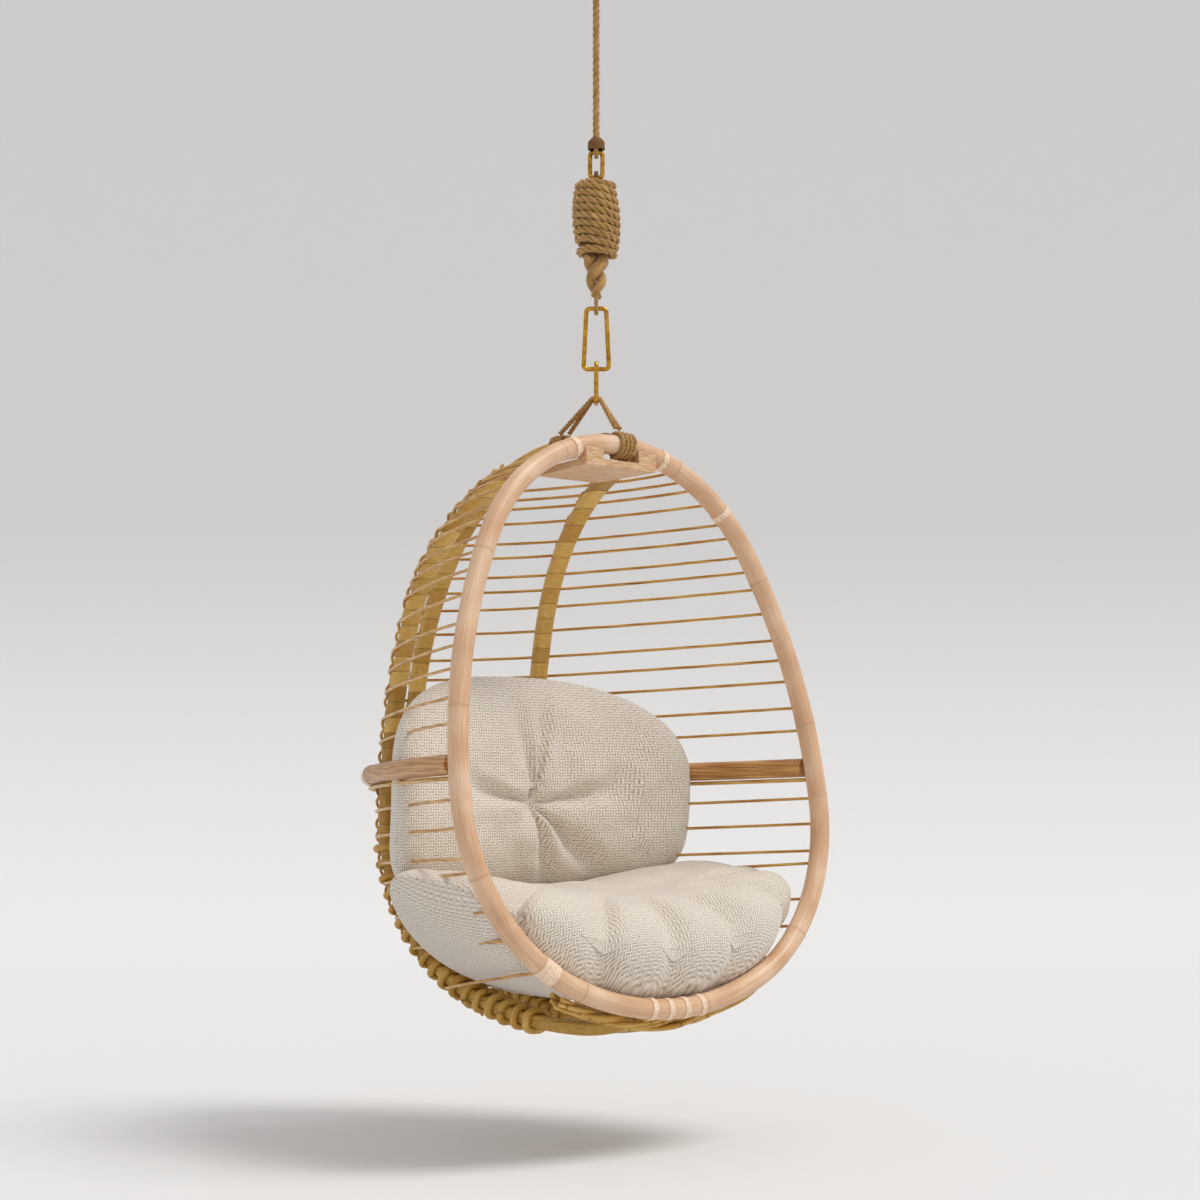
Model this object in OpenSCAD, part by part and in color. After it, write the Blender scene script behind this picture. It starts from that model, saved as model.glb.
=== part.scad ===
// Hanging egg chair: a rattan basket on a rope, with a seat cushion and a back cushion.
// Millimetres, +Z up. The origin is where the middle of the ceiling plate meets the ceiling.
// +X runs to the right of the opening as it is seen from the front, and +Y points to the back.

/* [Ceiling fitting] */
// Diameter of the ceiling plate
plate_d = 110; // [104:1:140]
// Thickness of the ceiling plate
plate_t = 6; // [4:0.5:10]
// Diameter of the circle that the screw holes lie on
screw_circle_d = 84; // [76:1:86]
// Radius of a screw hole
screw_hole_r = 3.25; // [2:0.05:4]
// Number of screw holes
screw_count = 4; // [3:1:6]
// Length of the bearing hub below the plate
hub_len = 20; // [17:1:26]
// Radius of the bearing hub
hub_r = 20; // [19:0.5:24]
// Radius of the hook's shank
shank_r = 8; // [7:0.1:9]
// Running clearance all round the shank
shank_play = 0.06; // [0.02:0.01:0.09]
// Radius of the hook's round bar
hook_bar_r = 6; // [5:0.1:6.5]
// Radius of the hook's bend, to the middle of the bar
hook_bend_r = 24; // [23:0.5:28]

/* [Rope and links] */
// Height of the ceiling above the middle of the front hoop
ceiling_drop = 1625; // [1560:5:2200]
// Diameter of the hanging rope
rope_d = 15; // [12:0.5:16]
// Diameter of one strand of the rope
strand_d = 9; // [7:0.5:9.5]
// Radius of the wire that the three links are bent from
link_wire_r = 4.5; // [3.8:0.1:4.8]
// Gap between a link and what hangs on it
link_play = 0.4; // [0.3:0.05:0.6]
// Radius of the links' bent corners, to the middle of the wire
link_corner_r = 8; // [7:0.5:10]
// Inside width of the top link
top_link_gap = 16; // [14:0.5:20]
// Height of the top link, between the middles of its end bars
top_link_h = 52; // [48:1:70]
// Inside width of the long link at its top
long_link_gap_top = 31; // [28:0.5:34]
// Inside width of the long link at its bottom
long_link_gap_low = 41; // [36:0.5:46]
// Height of the long link, between the middles of its end bars
long_link_h = 122; // [100:1:150]
// Inside width of the small link
small_link_gap = 32; // [31:0.5:34]
// Height of the small link, between the middles of its end bars
small_link_h = 77; // [66:1:90]
// Length of the wound knot
knot_len = 148; // [140:1:170]
// Radius of the wound knot at its middle
knot_r = 49; // [46:0.5:54]
// Radius of the wound knot at its ends
knot_end_r = 42; // [40:0.5:44]
// Thickness of the strand that is wound round the knot
knot_strand_d = 14; // [11:0.5:14]
// Turns of strand round the knot
knot_turns = 8; // [5:1:8]
// Slope of the knot's turns, in degrees
knot_slope = 18; // [0:1:18]
// Length of the twisted neck under the knot
neck_len = 92; // [60:1:120]
// Radius of the twisted neck where it is widest
neck_r = 26; // [20:0.5:26]
// Diameter of each bail cord
bail_d = 8; // [7:0.5:8]
// Height of the small link's lower bar above the crown of the hoop
bail_h = 90; // [84:1:120]
// How far behind the crown of the hoop the chair hangs
hang_back = 52; // [46:1:60]
// Diameter of the lashing cord
lash_d = 9; // [6:0.5:9]
// Distance from one turn of a lashing to the next
lash_pitch = 10.5; // [10.2:0.1:12]

/* [Front hoop] */
// Height of the front hoop, to the middle of the pole
hoop_h = 1100; // [1060:5:1160]
// Width of the front hoop, to the middle of the pole
hoop_w = 932; // [900:2:950]
// Height of the hoop's widest place above its bottom
hoop_waist_h = 396; // [385:1:405]
// Radius of the hoop's crown
crown_bend_r = 386; // [370:1:400]
// Radius of the hoop's bottom
base_bend_r = 600; // [570:5:640]
// Diameter of the hoop's pole
pole_d = 39; // [34:0.5:41]
// How far the hoop leans back, in degrees
hoop_lean = 8.7; // [7:0.1:10]
// Gap between the hoop and a piece that is fitted to it
seat_play = 0.3; // [0.2:0.05:0.6]

/* [Ribs, rail and canes] */
// Width of a rib
rib_w = 36; // [30:0.5:38]
// Thickness of a rib
rib_t = 25; // [20:0.5:27]
// Radius of a rib's rounded edges
rib_edge_r = 8; // [4:0.5:9]
// Angle between neighbouring ribs, in degrees
rib_spread = 13.2; // [12.8:0.1:14]
// Distance from the middle of the hoop forward to the line where the ribs' planes meet
rib_fan = 260; // [255:1:290]
// Reach of the side ribs behind that line
side_rib_reach = 852; // [830:1:870]
// Reach of the centre rib behind that line
centre_rib_reach = 996; // [970:1:1010]
// How far the ribs hang below the middle of the hoop's bottom
rib_drop = 56; // [50:1:62]
// Level of the side ribs' furthest reach, below the middle of the hoop
side_rib_waist = 200; // [170:5:230]
// Level of the centre rib's furthest reach, below the middle of the hoop
centre_rib_waist = 50; // [30:5:80]
// Length of the centre rib's straight ridge behind the crown of the hoop
ridge_len = 129; // [115:1:140]
// Diameter of the pole that goes round the basket at arm height
rail_d = 38; // [32:0.5:40]
// Level of that pole at the hoop, in hundredths of the hoop's half height
rail_level = -16; // [-20:0.5:-12]
// Diameter of a cane
cane_d = 6; // [4:0.5:7]
// Diameter of the cane that lies under the rail
rail_cane_d = 8; // [6:0.5:10]
// Gap between a rib and a cane or pole that is tied over it
cane_play = 0.4; // [0.3:0.1:0.9]

/* [Cushions] */
// Width of the back cushion
back_w = 640; // [600:5:650]
// Height of the back cushion
back_h = 440; // [400:5:450]
// Depth of the back cushion behind its rim
back_depth = 255; // [200:5:260]
// Depth of the tuft in the middle of the back cushion
tuft_depth = 47; // [20:1:60]
// Width of the seat cushion
seat_w = 600; // [560:5:610]
// Depth of the seat cushion, from front to back
seat_d = 580; // [540:5:590]
// Height of the seat cushion's crown above its rim
seat_crown = 95; // [60:5:100]
// Depth of the sewn channels in the seat cushion
channel_depth = 14; // [4:1:20]

/* [Hidden] */
$fn = 40;
CANES = 22;

// Levels and leans of the cane rings, counted from the top
CANE_LEVELS = [93, 90, 87, 82, 75, 70, 63, 57.5, 51, 42, 32, 24.5, 16.5, 6.5, -2,
               -27.5, -37, -47, -51.5, -64.5, -74, -84.5];
CANE_FALL = 2.5;
LOW_CANE_FALLS = [4, 4, 5, 8];
RAIL_FALL = 1.7;

// How the ribs bend
SIDE_STEP = 5;
SIDE_CROWN_R = 462;
SIDE_BASE_R = 700;
RIDGE_RISE = 25;
CENTRE_CROWN_R = 482;
CENTRE_BASE_R = 900;
CENTRE_LOW_AT = 80;

// How far a ring of cane bows from its straight line, in degrees at its ends
CANE_BOW = 6;
RAIL_BOW = 8.6;
RAIL_BEND_R = 150;
// The least that a ring turns over half the centre rib; a low ring bends at the side ribs instead.
LEAST_TURN = 5;
TIE_GAP = 0.3;

// The angle that the links are turned from the front of the chair
LINK_YAW = 42;

// Where two bends of one bar meet, one is a hair thicker, and the other's end laps into it.
JOIN_SWELL = 0.05;
JOIN_LAP = 0.4;

// Ceiling fitting
nut_h = 8;
nut_r = 14;
washer_t = 2;
ledge_z = -13;
flange_t = 4;
flange_r = 14;
hook_neck = 14;
hook_turn = 300;
hook_wall = 1.8;
thimble_bore_r = 14;
thimble_half_w = 8.5;
thimble_lip = 8;
seizing_len = 22;

// Levels down the rope, from the middle of the front hoop
pole_r = pole_d / 2;
crown_y = hoop_h / 2 * sin(hoop_lean);
crown_z = hoop_h / 2 * cos(hoop_lean);
hang_y = crown_y + hang_back;
small_low = crown_z + bail_h;
small_top = small_low + small_link_h;
long_low = small_top - 2 * link_wire_r - link_play;
long_top = long_low + long_link_h;
neck_low = long_top + link_wire_r + 11;
knot_low = neck_low + neck_len;
knot_top = knot_low + knot_len;
top_low = knot_top + 10;
top_high = top_low + top_link_h;
collar_low = top_high + link_wire_r + 1;
collar_len = 23;

// The hook and the rope's upper eye, from the ceiling
hub_end = -plate_t - hub_len;
hook_mid = hub_end - seat_play - flange_t - hook_neck - hook_bend_r;
hook_low = hook_mid - hook_bend_r;
lip_rise = hook_bend_r - sqrt(pow(hook_bend_r - hook_bar_r, 2) - pow(thimble_half_w, 2));
thimble_z = hook_low + lip_rise + link_play - thimble_bore_r;
eye_r = thimble_bore_r + hook_wall + rope_d / 2;
eye_apex = thimble_z - eye_r - rope_d;

// The strand's loop round a link's bar
loop_r = link_wire_r + link_play + strand_d / 2;

// The hoop's levels and the ribs
waist_z = hoop_waist_h - hoop_h / 2;
rib_turn_at = (crown_y + rib_fan) / cos(rib_spread);
rib_low = -crown_z - rib_drop;
// azimuth, place of the top, reach, waist, top, top radius, place of the lowest point, base radius
SIDE_RIB = [rib_spread, rib_turn_at, side_rib_reach, -side_rib_waist, crown_z - SIDE_STEP,
            SIDE_CROWN_R, rib_turn_at, SIDE_BASE_R];
CENTRE_RIB = [0, crown_y + ridge_len + rib_fan, centre_rib_reach, -centre_rib_waist,
              crown_z + RIDGE_RISE, CENTRE_CROWN_R, CENTRE_LOW_AT + rib_fan, CENTRE_BASE_R];

function two_figures(n) = n < 10 ? str("0", n) : str(n);

// ---- Curves ----

// A quarter of an egg: half width a at height 0, top at height h, bend radius r at the top.
// Below the top bend runs one long arc, the flank, that is upright at height 0.
function flank_r(a, h, r) = (a * a + h * h - 2 * h * r) / (2 * (a - r));
function flank_turn(a, h, r) =
    let (s = flank_r(a, h, r))
    atan2((h - r) / (s - r), (s - a) / (s - r));
function quarter_x(a, h, r, z) =
    let (s = flank_r(a, h, r))
    z <= s * sin(flank_turn(a, h, r)) ? a - s + sqrt(s * s - z * z) : sqrt(r * r - pow(z - h + r, 2));

// An arc in the x-y plane that runs past both its ends by a lap
module lapped_arc(from, turn, bend, lap) {
    over = lap / bend * 180 / PI;
    rotate([0, 0, from - over]) rotate_extrude(angle = turn + 2 * over) translate([bend, 0]) children();
}

// The first child is the flank's section and the second the bend's, with x outward and y across.
module quarter_sweep(a, h, r, flank_lap, bend_lap) {
    s = flank_r(a, h, r);
    turn = flank_turn(a, h, r);
    rotate([90, 0, 0]) {
        translate([a - s, 0, 0]) lapped_arc(0, turn, s, flank_lap) children(0);
        translate([0, h - r, 0]) lapped_arc(turn, 90 - turn, r, bend_lap) children(1);
    }
}

function unit(v) = v / norm(v);

// Points from p by the corner c to q, with the corner bent to a radius
function bent_path(p, c, q, bend, steps) =
    let (u = unit(p - c), v = unit(q - c), half = acos(u * v) / 2,
         o = c + unit(u + v) * bend / sin(half), s = c + u * bend / tan(half),
         ex = unit(s - o), ey = -u)
    concat([p], [for (i = [0:steps]) let (a = (180 - 2 * half) * i / steps)
        o + bend * (cos(a) * ex + sin(a) * ey)], [q]);

// A tube through points; "out" holds each point's direction away from what the tube winds round.
module wound_tube(points, out, r, sides = 6) {
    n = len(points);
    turn = 360 / sides;
    rings = [for (i = [0:n - 1])
        let (t = unit(points[min(i + 1, n - 1)] - points[max(i - 1, 0)]), v = unit(cross(t, out[i])),
             u = cross(v, t))
        for (k = [0:sides - 1]) points[i] + r * (cos(turn * k) * u + sin(turn * k) * v)];
    walls = [for (i = [0:n - 2]) for (k = [0:sides - 1])
        let (a = i * sides + k, b = i * sides + (k + 1) % sides)
        each [[a, b, a + sides], [b, b + sides, a + sides]]];
    first = [for (k = [1:sides - 2]) [0, k + 1, k]];
    end = (n - 1) * sides;
    last = [for (k = [1:sides - 2]) [end, end + k, end + k + 1]];
    polyhedron(rings, concat(walls, first, last));
}

// The least gap between a winding's turns, measured on its points
function least_gap(points, d) =
    min([for (i = [0:len(points) - 1]) for (j = [i + 12:1:len(points) - 1]) norm(points[i] - points[j])]) - d;

// ---- Places on the hoop and the ribs ----

function hoop_x(along) = along > waist_z
    ? quarter_x(hoop_w / 2, hoop_h - hoop_waist_h, crown_bend_r, along - waist_z)
    : quarter_x(hoop_w / 2, hoop_waist_h, base_bend_r, waist_z - along);
function hoop_low(x) = base_bend_r - hoop_h / 2 - sqrt(base_bend_r * base_bend_r - x * x);

// How far a rib's outside, less an inset, is from the fan line at a level
function rib_out(rib, z, inset) = z > rib[3]
    ? rib[1] + quarter_x(rib[2] - rib[1] - inset, rib[4] - rib[3] - inset, rib[5] - inset, z - rib[3])
    : rib[6] + quarter_x(rib[2] - rib[6] - inset, rib[3] - rib_low - inset, rib[7] - inset, rib[3] - z);

// The middle of the rounding on a rib's right outer edge, at a level
function edge_at(rib, z) =
    let (out = rib_out(rib, z, rib_edge_r), across = rib_w / 2 - rib_edge_r)
    [out * sin(rib[0]) + across * cos(rib[0]), out * cos(rib[0]) - across * sin(rib[0]) - rib_fan];
function edge_y(rib, y0, z0, fall, n) =
    edge_at(rib, n == 0 ? z0 : z0 - (edge_y(rib, y0, z0, fall, n - 1) - y0) * tan(fall))[1];

// How far from that middle a rod has to pass to lie at distance d from the edge
function stand_off(rib, z, heading, fall, d) =
    let (slope = (rib_out(rib, z + 1, rib_edge_r) - rib_out(rib, z - 1, rib_edge_r)) / 2,
         along = [slope * sin(rib[0]), slope * cos(rib[0]), 1],
         way = [cos(heading), -sin(heading) * cos(fall), sin(heading) * sin(fall)],
         off = [sin(heading), cos(heading) * cos(fall), -cos(heading) * sin(fall)],
         m = cross(way, along))
    d * norm(m) / abs(off * m);

// ---- Rings round the basket ----
// A ring lies in a plane that falls to the back. In it x is to the right and y to the back, from
// the middle of the hoop at the ring's level. Headings are degrees clockwise from +x.

function heading(p, q) = atan2(p[1] - q[1], q[0] - p[0]);
function bend_end(p, r, turn) = [p[0] + r * sin(turn), p[1] - r * (1 - cos(turn))];
function back_turn(p, r, q, last, n) = n == 0 ? 40 :
    2 * heading(bend_end(p, r, back_turn(p, r, q, last, n - 1)), q) - last;

// Where a ring passes the side rib's edge; "kink" is how much it bends there, round the edge.
function pass_at(side, off, last, kink) =
    side + off / cos(kink / 2) * [sin(last - kink / 2), cos(last - kink / 2)];
function kink_at(back, bend, pass, last) =
    let (turn = max(LEAST_TURN, back_turn(back, bend, pass, last, 12)))
    turn > LEAST_TURN ? 0 : last - 2 * heading(bend_end(back, bend, turn), pass) + turn;

// [level, start on the hoop, pass at the side rib, start and radius of the back bend, its turn,
//  tilt of the hoop to the last span, kink at the side rib]
function ring(level, fall, d, bow, bend) =
    let (along = level / 100 * hoop_h / 2, y0 = along * sin(hoop_lean), z0 = along * cos(hoop_lean),
         start = [hoop_x(along), 0],
         side_y = edge_y(SIDE_RIB, y0, z0, fall, 5),
         side_z = z0 - (side_y - y0) * tan(fall),
         side = [edge_at(SIDE_RIB, side_z)[0], (side_y - y0) / cos(fall)],
         last = heading(side, start) - bow,
         off = stand_off(SIDE_RIB, side_z, last, fall, d),
         back_y = edge_y(CENTRE_RIB, y0, z0, fall, 5),
         back_z = z0 - (back_y - y0) * tan(fall),
         back_off = stand_off(CENTRE_RIB, back_z, 0, fall, d),
         flat = rib_w / 2 - rib_edge_r,
         bend_r = max(bend, flat + back_off + 4),
         // The bend clears the rounded edges of the rib, not only its face
         face = (back_y - y0) / cos(fall),
         back = [0, face + bend_r - sqrt(pow(bend_r - back_off, 2) - flat * flat)],
         first_kink = kink_at(back, bend_r, pass_at(side, off, last, 0), last),
         pass = pass_at(side, max(off, stand_off(SIDE_RIB, side_z, last - first_kink, fall, d)), last, first_kink),
         kink = first_kink == 0 ? 0 : kink_at(back, bend_r, pass, last),
         limb = unit([hoop_x(along + 1) - hoop_x(along - 1), 2 * sin(hoop_lean), 2 * cos(hoop_lean)]),
         way = unit([start[0] - pass[0], start[1] - pass[1], 0]),
         tilt = abs(limb * [way[0], way[1] * cos(fall), -way[1] * sin(fall)]))
    [[y0, z0, fall], start, pass, back, bend_r, max(LEAST_TURN, back_turn(back, bend_r, pass, last, 12)),
     tilt, kink];

// The share of a ring's last span at which a rod's end meets the hoop
function hoop_share(rg, r) =
    1 - (pole_r + seat_play + r * rg[6]) / sqrt(1 - rg[6] * rg[6]) / norm(rg[1] - rg[2]);

// The children swept along the arc from p to q that starts at a heading, between two shares of it
module ring_arc(p, start, q, from, to) {
    turn = 2 * (heading(p, q) - start);
    bend = norm(q - p) / (2 * sin(turn / 2));
    translate([p[0] - bend * sin(start), p[1] - bend * cos(start), 0])
        rotate([0, 0, 90 - start - turn * to])
        rotate_extrude(angle = turn * (to - from)) translate([bend, 0]) children();
}

module ring_plane(rg) {
    translate([0, rg[0][0], rg[0][1]]) rotate([-rg[0][2], 0, 0]) children();
}

// A ring: a bend over the centre rib, and on each side a span to the side rib and one to the hoop.
// The first child is the section of the spans between the ribs, and the second that of the rest.
function pass_heading(rg) = 2 * heading(bend_end(rg[3], rg[4], rg[5]), rg[2]) - rg[5] + rg[7];
module ring_spans(rg, r, gap) {
    e = bend_end(rg[3], rg[4], rg[5]);
    tie = gap + r * tan(rg[7] / 2);
    translate([0, rg[3][1] - rg[4], 0]) rotate([0, 0, 90 - rg[5]])
        rotate_extrude(angle = 2 * rg[5]) translate([rg[4], 0]) children(1);
    both_sides() {
        ring_arc(e, rg[5], rg[2], gap / norm(rg[2] - e), 1 - tie / norm(rg[2] - e)) children(0);
        ring_arc(rg[2], pass_heading(rg), rg[1], max(tie, 0) / norm(rg[1] - rg[2]), hoop_share(rg, r))
            children(1);
    }
}

// ---- Places ----

module chair() {
    translate([0, -hang_y, -ceiling_drop]) children();
}
module on_rope(level) {
    translate([0, 0, level - ceiling_drop]) rotate([0, 0, -LINK_YAW]) children();
}
module both_sides() {
    children();
    mirror([1, 0, 0]) children();
}
module in_hoop() {
    rotate([-hoop_lean, 0, 0]) children();
}

// ---- Ceiling fitting ----

module ceiling_plate() {
    color("silver") difference() {
        union() {
            translate([0, 0, -plate_t]) cylinder(h = plate_t, d = plate_d);
            translate([0, 0, hub_end]) cylinder(h = hub_len + 1, r = hub_r);
        }
        for (i = [0:screw_count - 1]) rotate([0, 0, i * 360 / screw_count])
            translate([screw_circle_d / 2, 0, -plate_t - 1]) cylinder(h = plate_t + 2, r = screw_hole_r);
        translate([0, 0, hub_end - 1]) cylinder(h = hub_len + plate_t + 2, r = shank_r + shank_play);
        translate([0, 0, ledge_z]) cylinder(h = 1 - ledge_z, r = nut_r + 2);
    }
}

module swivel_washer() {
    color("silver") translate([0, 0, ledge_z]) difference() {
        cylinder(h = washer_t, r = nut_r + 1);
        translate([0, 0, -1]) cylinder(h = washer_t + 2, r = shank_r + shank_play);
    }
}

module swivel_nut() {
    color("silver") translate([0, 0, ledge_z + washer_t + seat_play]) difference() {
        cylinder(h = nut_h, r = nut_r, $fn = 6);
        translate([0, 0, -1]) cylinder(h = nut_h + 2, r = shank_r + shank_play / 2);
    }
}

module ceiling_hook() {
    flange_low = hub_end - seat_play - flange_t;
    color("silver") rotate([0, 0, 90 - LINK_YAW]) {
        translate([0, 0, flange_low]) cylinder(h = ledge_z + nut_h + washer_t - flange_low, r = shank_r);
        translate([0, 0, flange_low]) cylinder(h = flange_t, r = flange_r);
        translate([0, 0, flange_low - hook_neck]) cylinder(h = hook_neck + 1, r = shank_r);
        translate([0, 0, hook_mid]) rotate([90, hook_turn - 450, 0])
            rotate_extrude(angle = hook_turn) translate([hook_bend_r, 0]) circle(hook_bar_r);
    }
}

// ---- Rope ----

module rope_thimble() {
    color("silver") translate([0, 0, thimble_z]) rotate([0, 0, -LINK_YAW]) rotate([90, 0, 0])
        rotate_extrude() difference() {
            translate([thimble_bore_r, -thimble_half_w]) square([thimble_lip, 2 * thimble_half_w]);
            translate([eye_r, 0]) circle(rope_d / 2 + seat_play / 2);
        }
}

module top_rope() {
    rope_r = rope_d / 2;
    rope_end = collar_low + 4 - ceiling_drop;
    color("peru") rotate([0, 0, -LINK_YAW]) {
        translate([0, 0, thimble_z]) rotate([90, 0, 0])
            rotate_extrude() translate([eye_r, 0]) circle(rope_r);
        translate([0, 0, rope_end]) cylinder(h = thimble_z - eye_r - rope_end, r = rope_r);
        // The strand's eye round the top link's upper bar
        translate([0, 0, top_high - ceiling_drop]) strand_loop(collar_low + 14 - top_high);
    }
}

// A loop under a link's bar that lies along x; its two legs go up by a length
module strand_loop(legs) {
    rotate([0, 0, 90]) rotate([90, 180, 0])
        rotate_extrude(angle = 180) translate([loop_r, 0]) circle(strand_d / 2);
    for (side = [-1, 1]) translate([0, side * loop_r, 0]) cylinder(h = legs, r = strand_d / 2);
}

module eye_seizing() {
    color("saddlebrown") translate([0, 0, eye_apex - seizing_len]) difference() {
        cylinder(h = seizing_len - rope_d / 2, r = rope_d / 2 + 2.5);
        translate([0, 0, -1]) cylinder(h = seizing_len + 2, r = rope_d / 2 + seat_play);
    }
}

module rope_collar() {
    wide = loop_r + strand_d / 2 + seat_play;
    shoulder = 15;
    color("saddlebrown") on_rope(collar_low) rotate_extrude() polygon([
        [wide, 0], [wide + 3.2, 0], [wide + 2.6, shoulder], [rope_d / 2 + 2.5, collar_len],
        [rope_d / 2 + seat_play, collar_len], [rope_d / 2 + seat_play, shoulder + 3], [wide, shoulder - 1]
    ]);
}

// ---- Links ----

// A link of round wire in the x-z plane, with the middle of its lower bar at the origin.
module wire_link(gap_top, gap_low, height) {
    c = link_corner_r;
    r = link_wire_r;
    top_x = gap_top / 2 + r - c;
    low_x = gap_low / 2 + r - c;
    slant = atan((low_x - top_x) / (height - 2 * c));
    leg = (height - 2 * c) / cos(slant);
    for (bar = [[0, low_x], [height, top_x]])
        translate([-bar[1] - JOIN_LAP, 0, bar[0]]) rotate([0, 90, 0])
            cylinder(h = 2 * (bar[1] + JOIN_LAP), r = r);
    both_sides() rotate([90, 0, 0]) {
        translate([low_x, c, 0]) rotate([0, 0, slant]) translate([c, -JOIN_LAP, 0]) rotate([-90, 0, 0])
            cylinder(h = leg + 2 * JOIN_LAP, r = r);
        translate([low_x, c, 0]) rotate([0, 0, -90])
            rotate_extrude(angle = 90 + slant) translate([c, 0]) circle(r + JOIN_SWELL);
        translate([top_x, height - c, 0]) rotate([0, 0, slant])
            rotate_extrude(angle = 90 - slant) translate([c, 0]) circle(r + JOIN_SWELL);
    }
}

module top_link() {
    color("goldenrod") on_rope(top_low) wire_link(top_link_gap, top_link_gap, top_link_h);
}

module long_link() {
    color("goldenrod") on_rope(long_low) wire_link(long_link_gap_top, long_link_gap_low, long_link_h);
}

module small_link() {
    color("goldenrod") on_rope(small_low) rotate([0, 0, 90])
        wire_link(small_link_gap, small_link_gap, small_link_h);
}

// ---- Knot ----

// The winding: it starts at the knot's lower end, and its turns slope down along x.
knot_steps = 24 * knot_turns;
knot_rise = knot_len - knot_strand_d - 2 * (knot_end_r - knot_strand_d / 2) * tan(knot_slope) * 0.5;
function knot_out(i) =
    let (t = 2 * i / knot_steps - 1)
    knot_end_r + (knot_r - knot_end_r) * (1 - t * t) - knot_strand_d / 2;
function knot_point(i) =
    let (r = knot_out(i), x = r * cos(15 * i), z = (knot_len - knot_rise) / 2 + knot_rise * i / knot_steps)
    [x, r * sin(15 * i), z - x * tan(knot_slope)];
knot_points = [for (i = [0:knot_steps]) knot_point(i)];

module rope_knot() {
    echo(rope_knot_least_gap = least_gap(knot_points, knot_strand_d));
    out = [for (i = [0:knot_steps]) [cos(15 * i), sin(15 * i), 0]];
    color("peru") on_rope(knot_low) wound_tube(knot_points, out, knot_strand_d / 2);
}

// What the strand is wound on, with the loop that goes over the top link's lower bar
module knot_core() {
    core_r = (knot_end_r - knot_strand_d) * cos(7.5) - seat_play;
    color("saddlebrown") on_rope(knot_low) {
        cylinder(h = knot_len, r = core_r);
        translate([0, 0, top_low - knot_low]) mirror([0, 0, 1]) strand_loop(top_low - knot_top + 4);
    }
}

// The twisted neck narrows to the loop that holds the long link
module knot_neck() {
    end_r = loop_r + strand_d / 2 + 1;
    color("peru") on_rope(neck_low) {
        rotate_extrude() polygon([
            [0, 0], [end_r, 0], [end_r + 3, 8], [neck_r - 2, neck_len * 0.55],
            [neck_r, neck_len * 0.8], [neck_r - 1, neck_len], [0, neck_len]
        ]);
        translate([0, 0, long_top - neck_low]) strand_loop(neck_low - long_top + 4);
    }
}

// ---- Bail and lashings ----

// How far the cords stand off the bar, so that they clear the link's corners
BAIL_LIFT = 2.4;
bar_lift = link_wire_r + link_play + BAIL_LIFT + bail_d / 2;
bail_bend = 20;
// Where the bail cords cross the small link's lower bar, either side of its middle
BAIL_SPACE = 0.4;
bail_step = (bail_d + seat_play + BAIL_SPACE) / (2 * sin(LINK_YAW));
ridge_top = crown_z + RIDGE_RISE;
// How high a cord's middle ends above a pole or rib, and above the turns of a lashing on it
front_top = crown_z + pole_r + 0.5 * bail_d / 2 + 3 * seat_play + lash_d;
rear_end = seat_play + 0.83 * bail_d / 2 + 2 * seat_play + lash_d;

module bail_cord(side, rear, front) {
    bar = [side * bail_step * sin(LINK_YAW), hang_y + side * bail_step * cos(LINK_YAW), small_low];
    start = bar + [0, 0, bar_lift];
    u = unit(rear - start);
    v = unit(front - start);
    // The corner lies so that the cord's bend just clears the bar
    apex = bar - unit(u + v) * (bail_bend / sin(acos(u * v) / 2) - bail_bend + bar_lift);
    points = bent_path(rear, apex, front, bail_bend, 8);
    across = unit(cross(rear - apex, front - apex));
    color("peru") chair() wound_tube(points, [for (p = points) across], bail_d / 2, 10);
}

module bail_cord_left() {
    bail_cord(-1, [-8, hang_y + 100, ridge_top + rear_end], [3, crown_y - 3, front_top]);
}

module bail_cord_right() {
    bail_cord(1, [6, hang_y + 88, ridge_top + rear_end], [14, crown_y - 3, front_top]);
}

// Turns of cord round the crown of the hoop
front_turns = 4;
front_from = 0;
lash_off = pole_r + 2 * seat_play + lash_d / 2;
function front_frame(i) =
    let (b = (front_from + lash_pitch * i / 24) / crown_bend_r * 180 / PI, a = 15 * i + 150)
    [[sin(b) * cos(a), sin(a), cos(b) * cos(a)], crown_bend_r * [sin(b), 0, cos(b)]];
front_out = [for (i = [0:24 * front_turns]) front_frame(i)[0]];
front_points = [for (i = [0:24 * front_turns]) front_frame(i)[1] + lash_off * front_out[i]];

module front_lashing() {
    echo(front_lashing_least_gap = least_gap(front_points, lash_d));
    color("peru") chair() in_hoop() translate([0, 0, hoop_h / 2 - crown_bend_r])
        wound_tube(front_points, front_out, lash_d / 2);
}

// Turns of cord round the ridge of the centre rib
rear_turns = 3;
rear_from = crown_y + ridge_len + 6;
function rear_frame(i) =
    let (a = 15 * i - 82.5, y = rear_from + lash_pitch * i / 24,
         over = max(0, y - crown_y - ridge_len),
         sag = over * over / (2 * CENTRE_CROWN_R), edge = rib_edge_r + 2 * seat_play + lash_d / 2)
    [[cos(a), 0, sin(a)],
     [sign(cos(a)) * (rib_w / 2 - rib_edge_r) + edge * cos(a), y,
      sign(sin(a)) * (rib_t / 2 - rib_edge_r) + edge * sin(a) - sag]];
rear_out = [for (i = [0:24 * rear_turns]) rear_frame(i)[0]];
rear_points = [for (i = [0:24 * rear_turns]) rear_frame(i)[1]];

module rear_lashing() {
    echo(rear_lashing_least_gap = least_gap(rear_points, lash_d));
    color("peru") chair() translate([0, 0, ridge_top - rib_t / 2])
        wound_tube(rear_points, rear_out, lash_d / 2);
}

// ---- Front hoop ----

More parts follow.
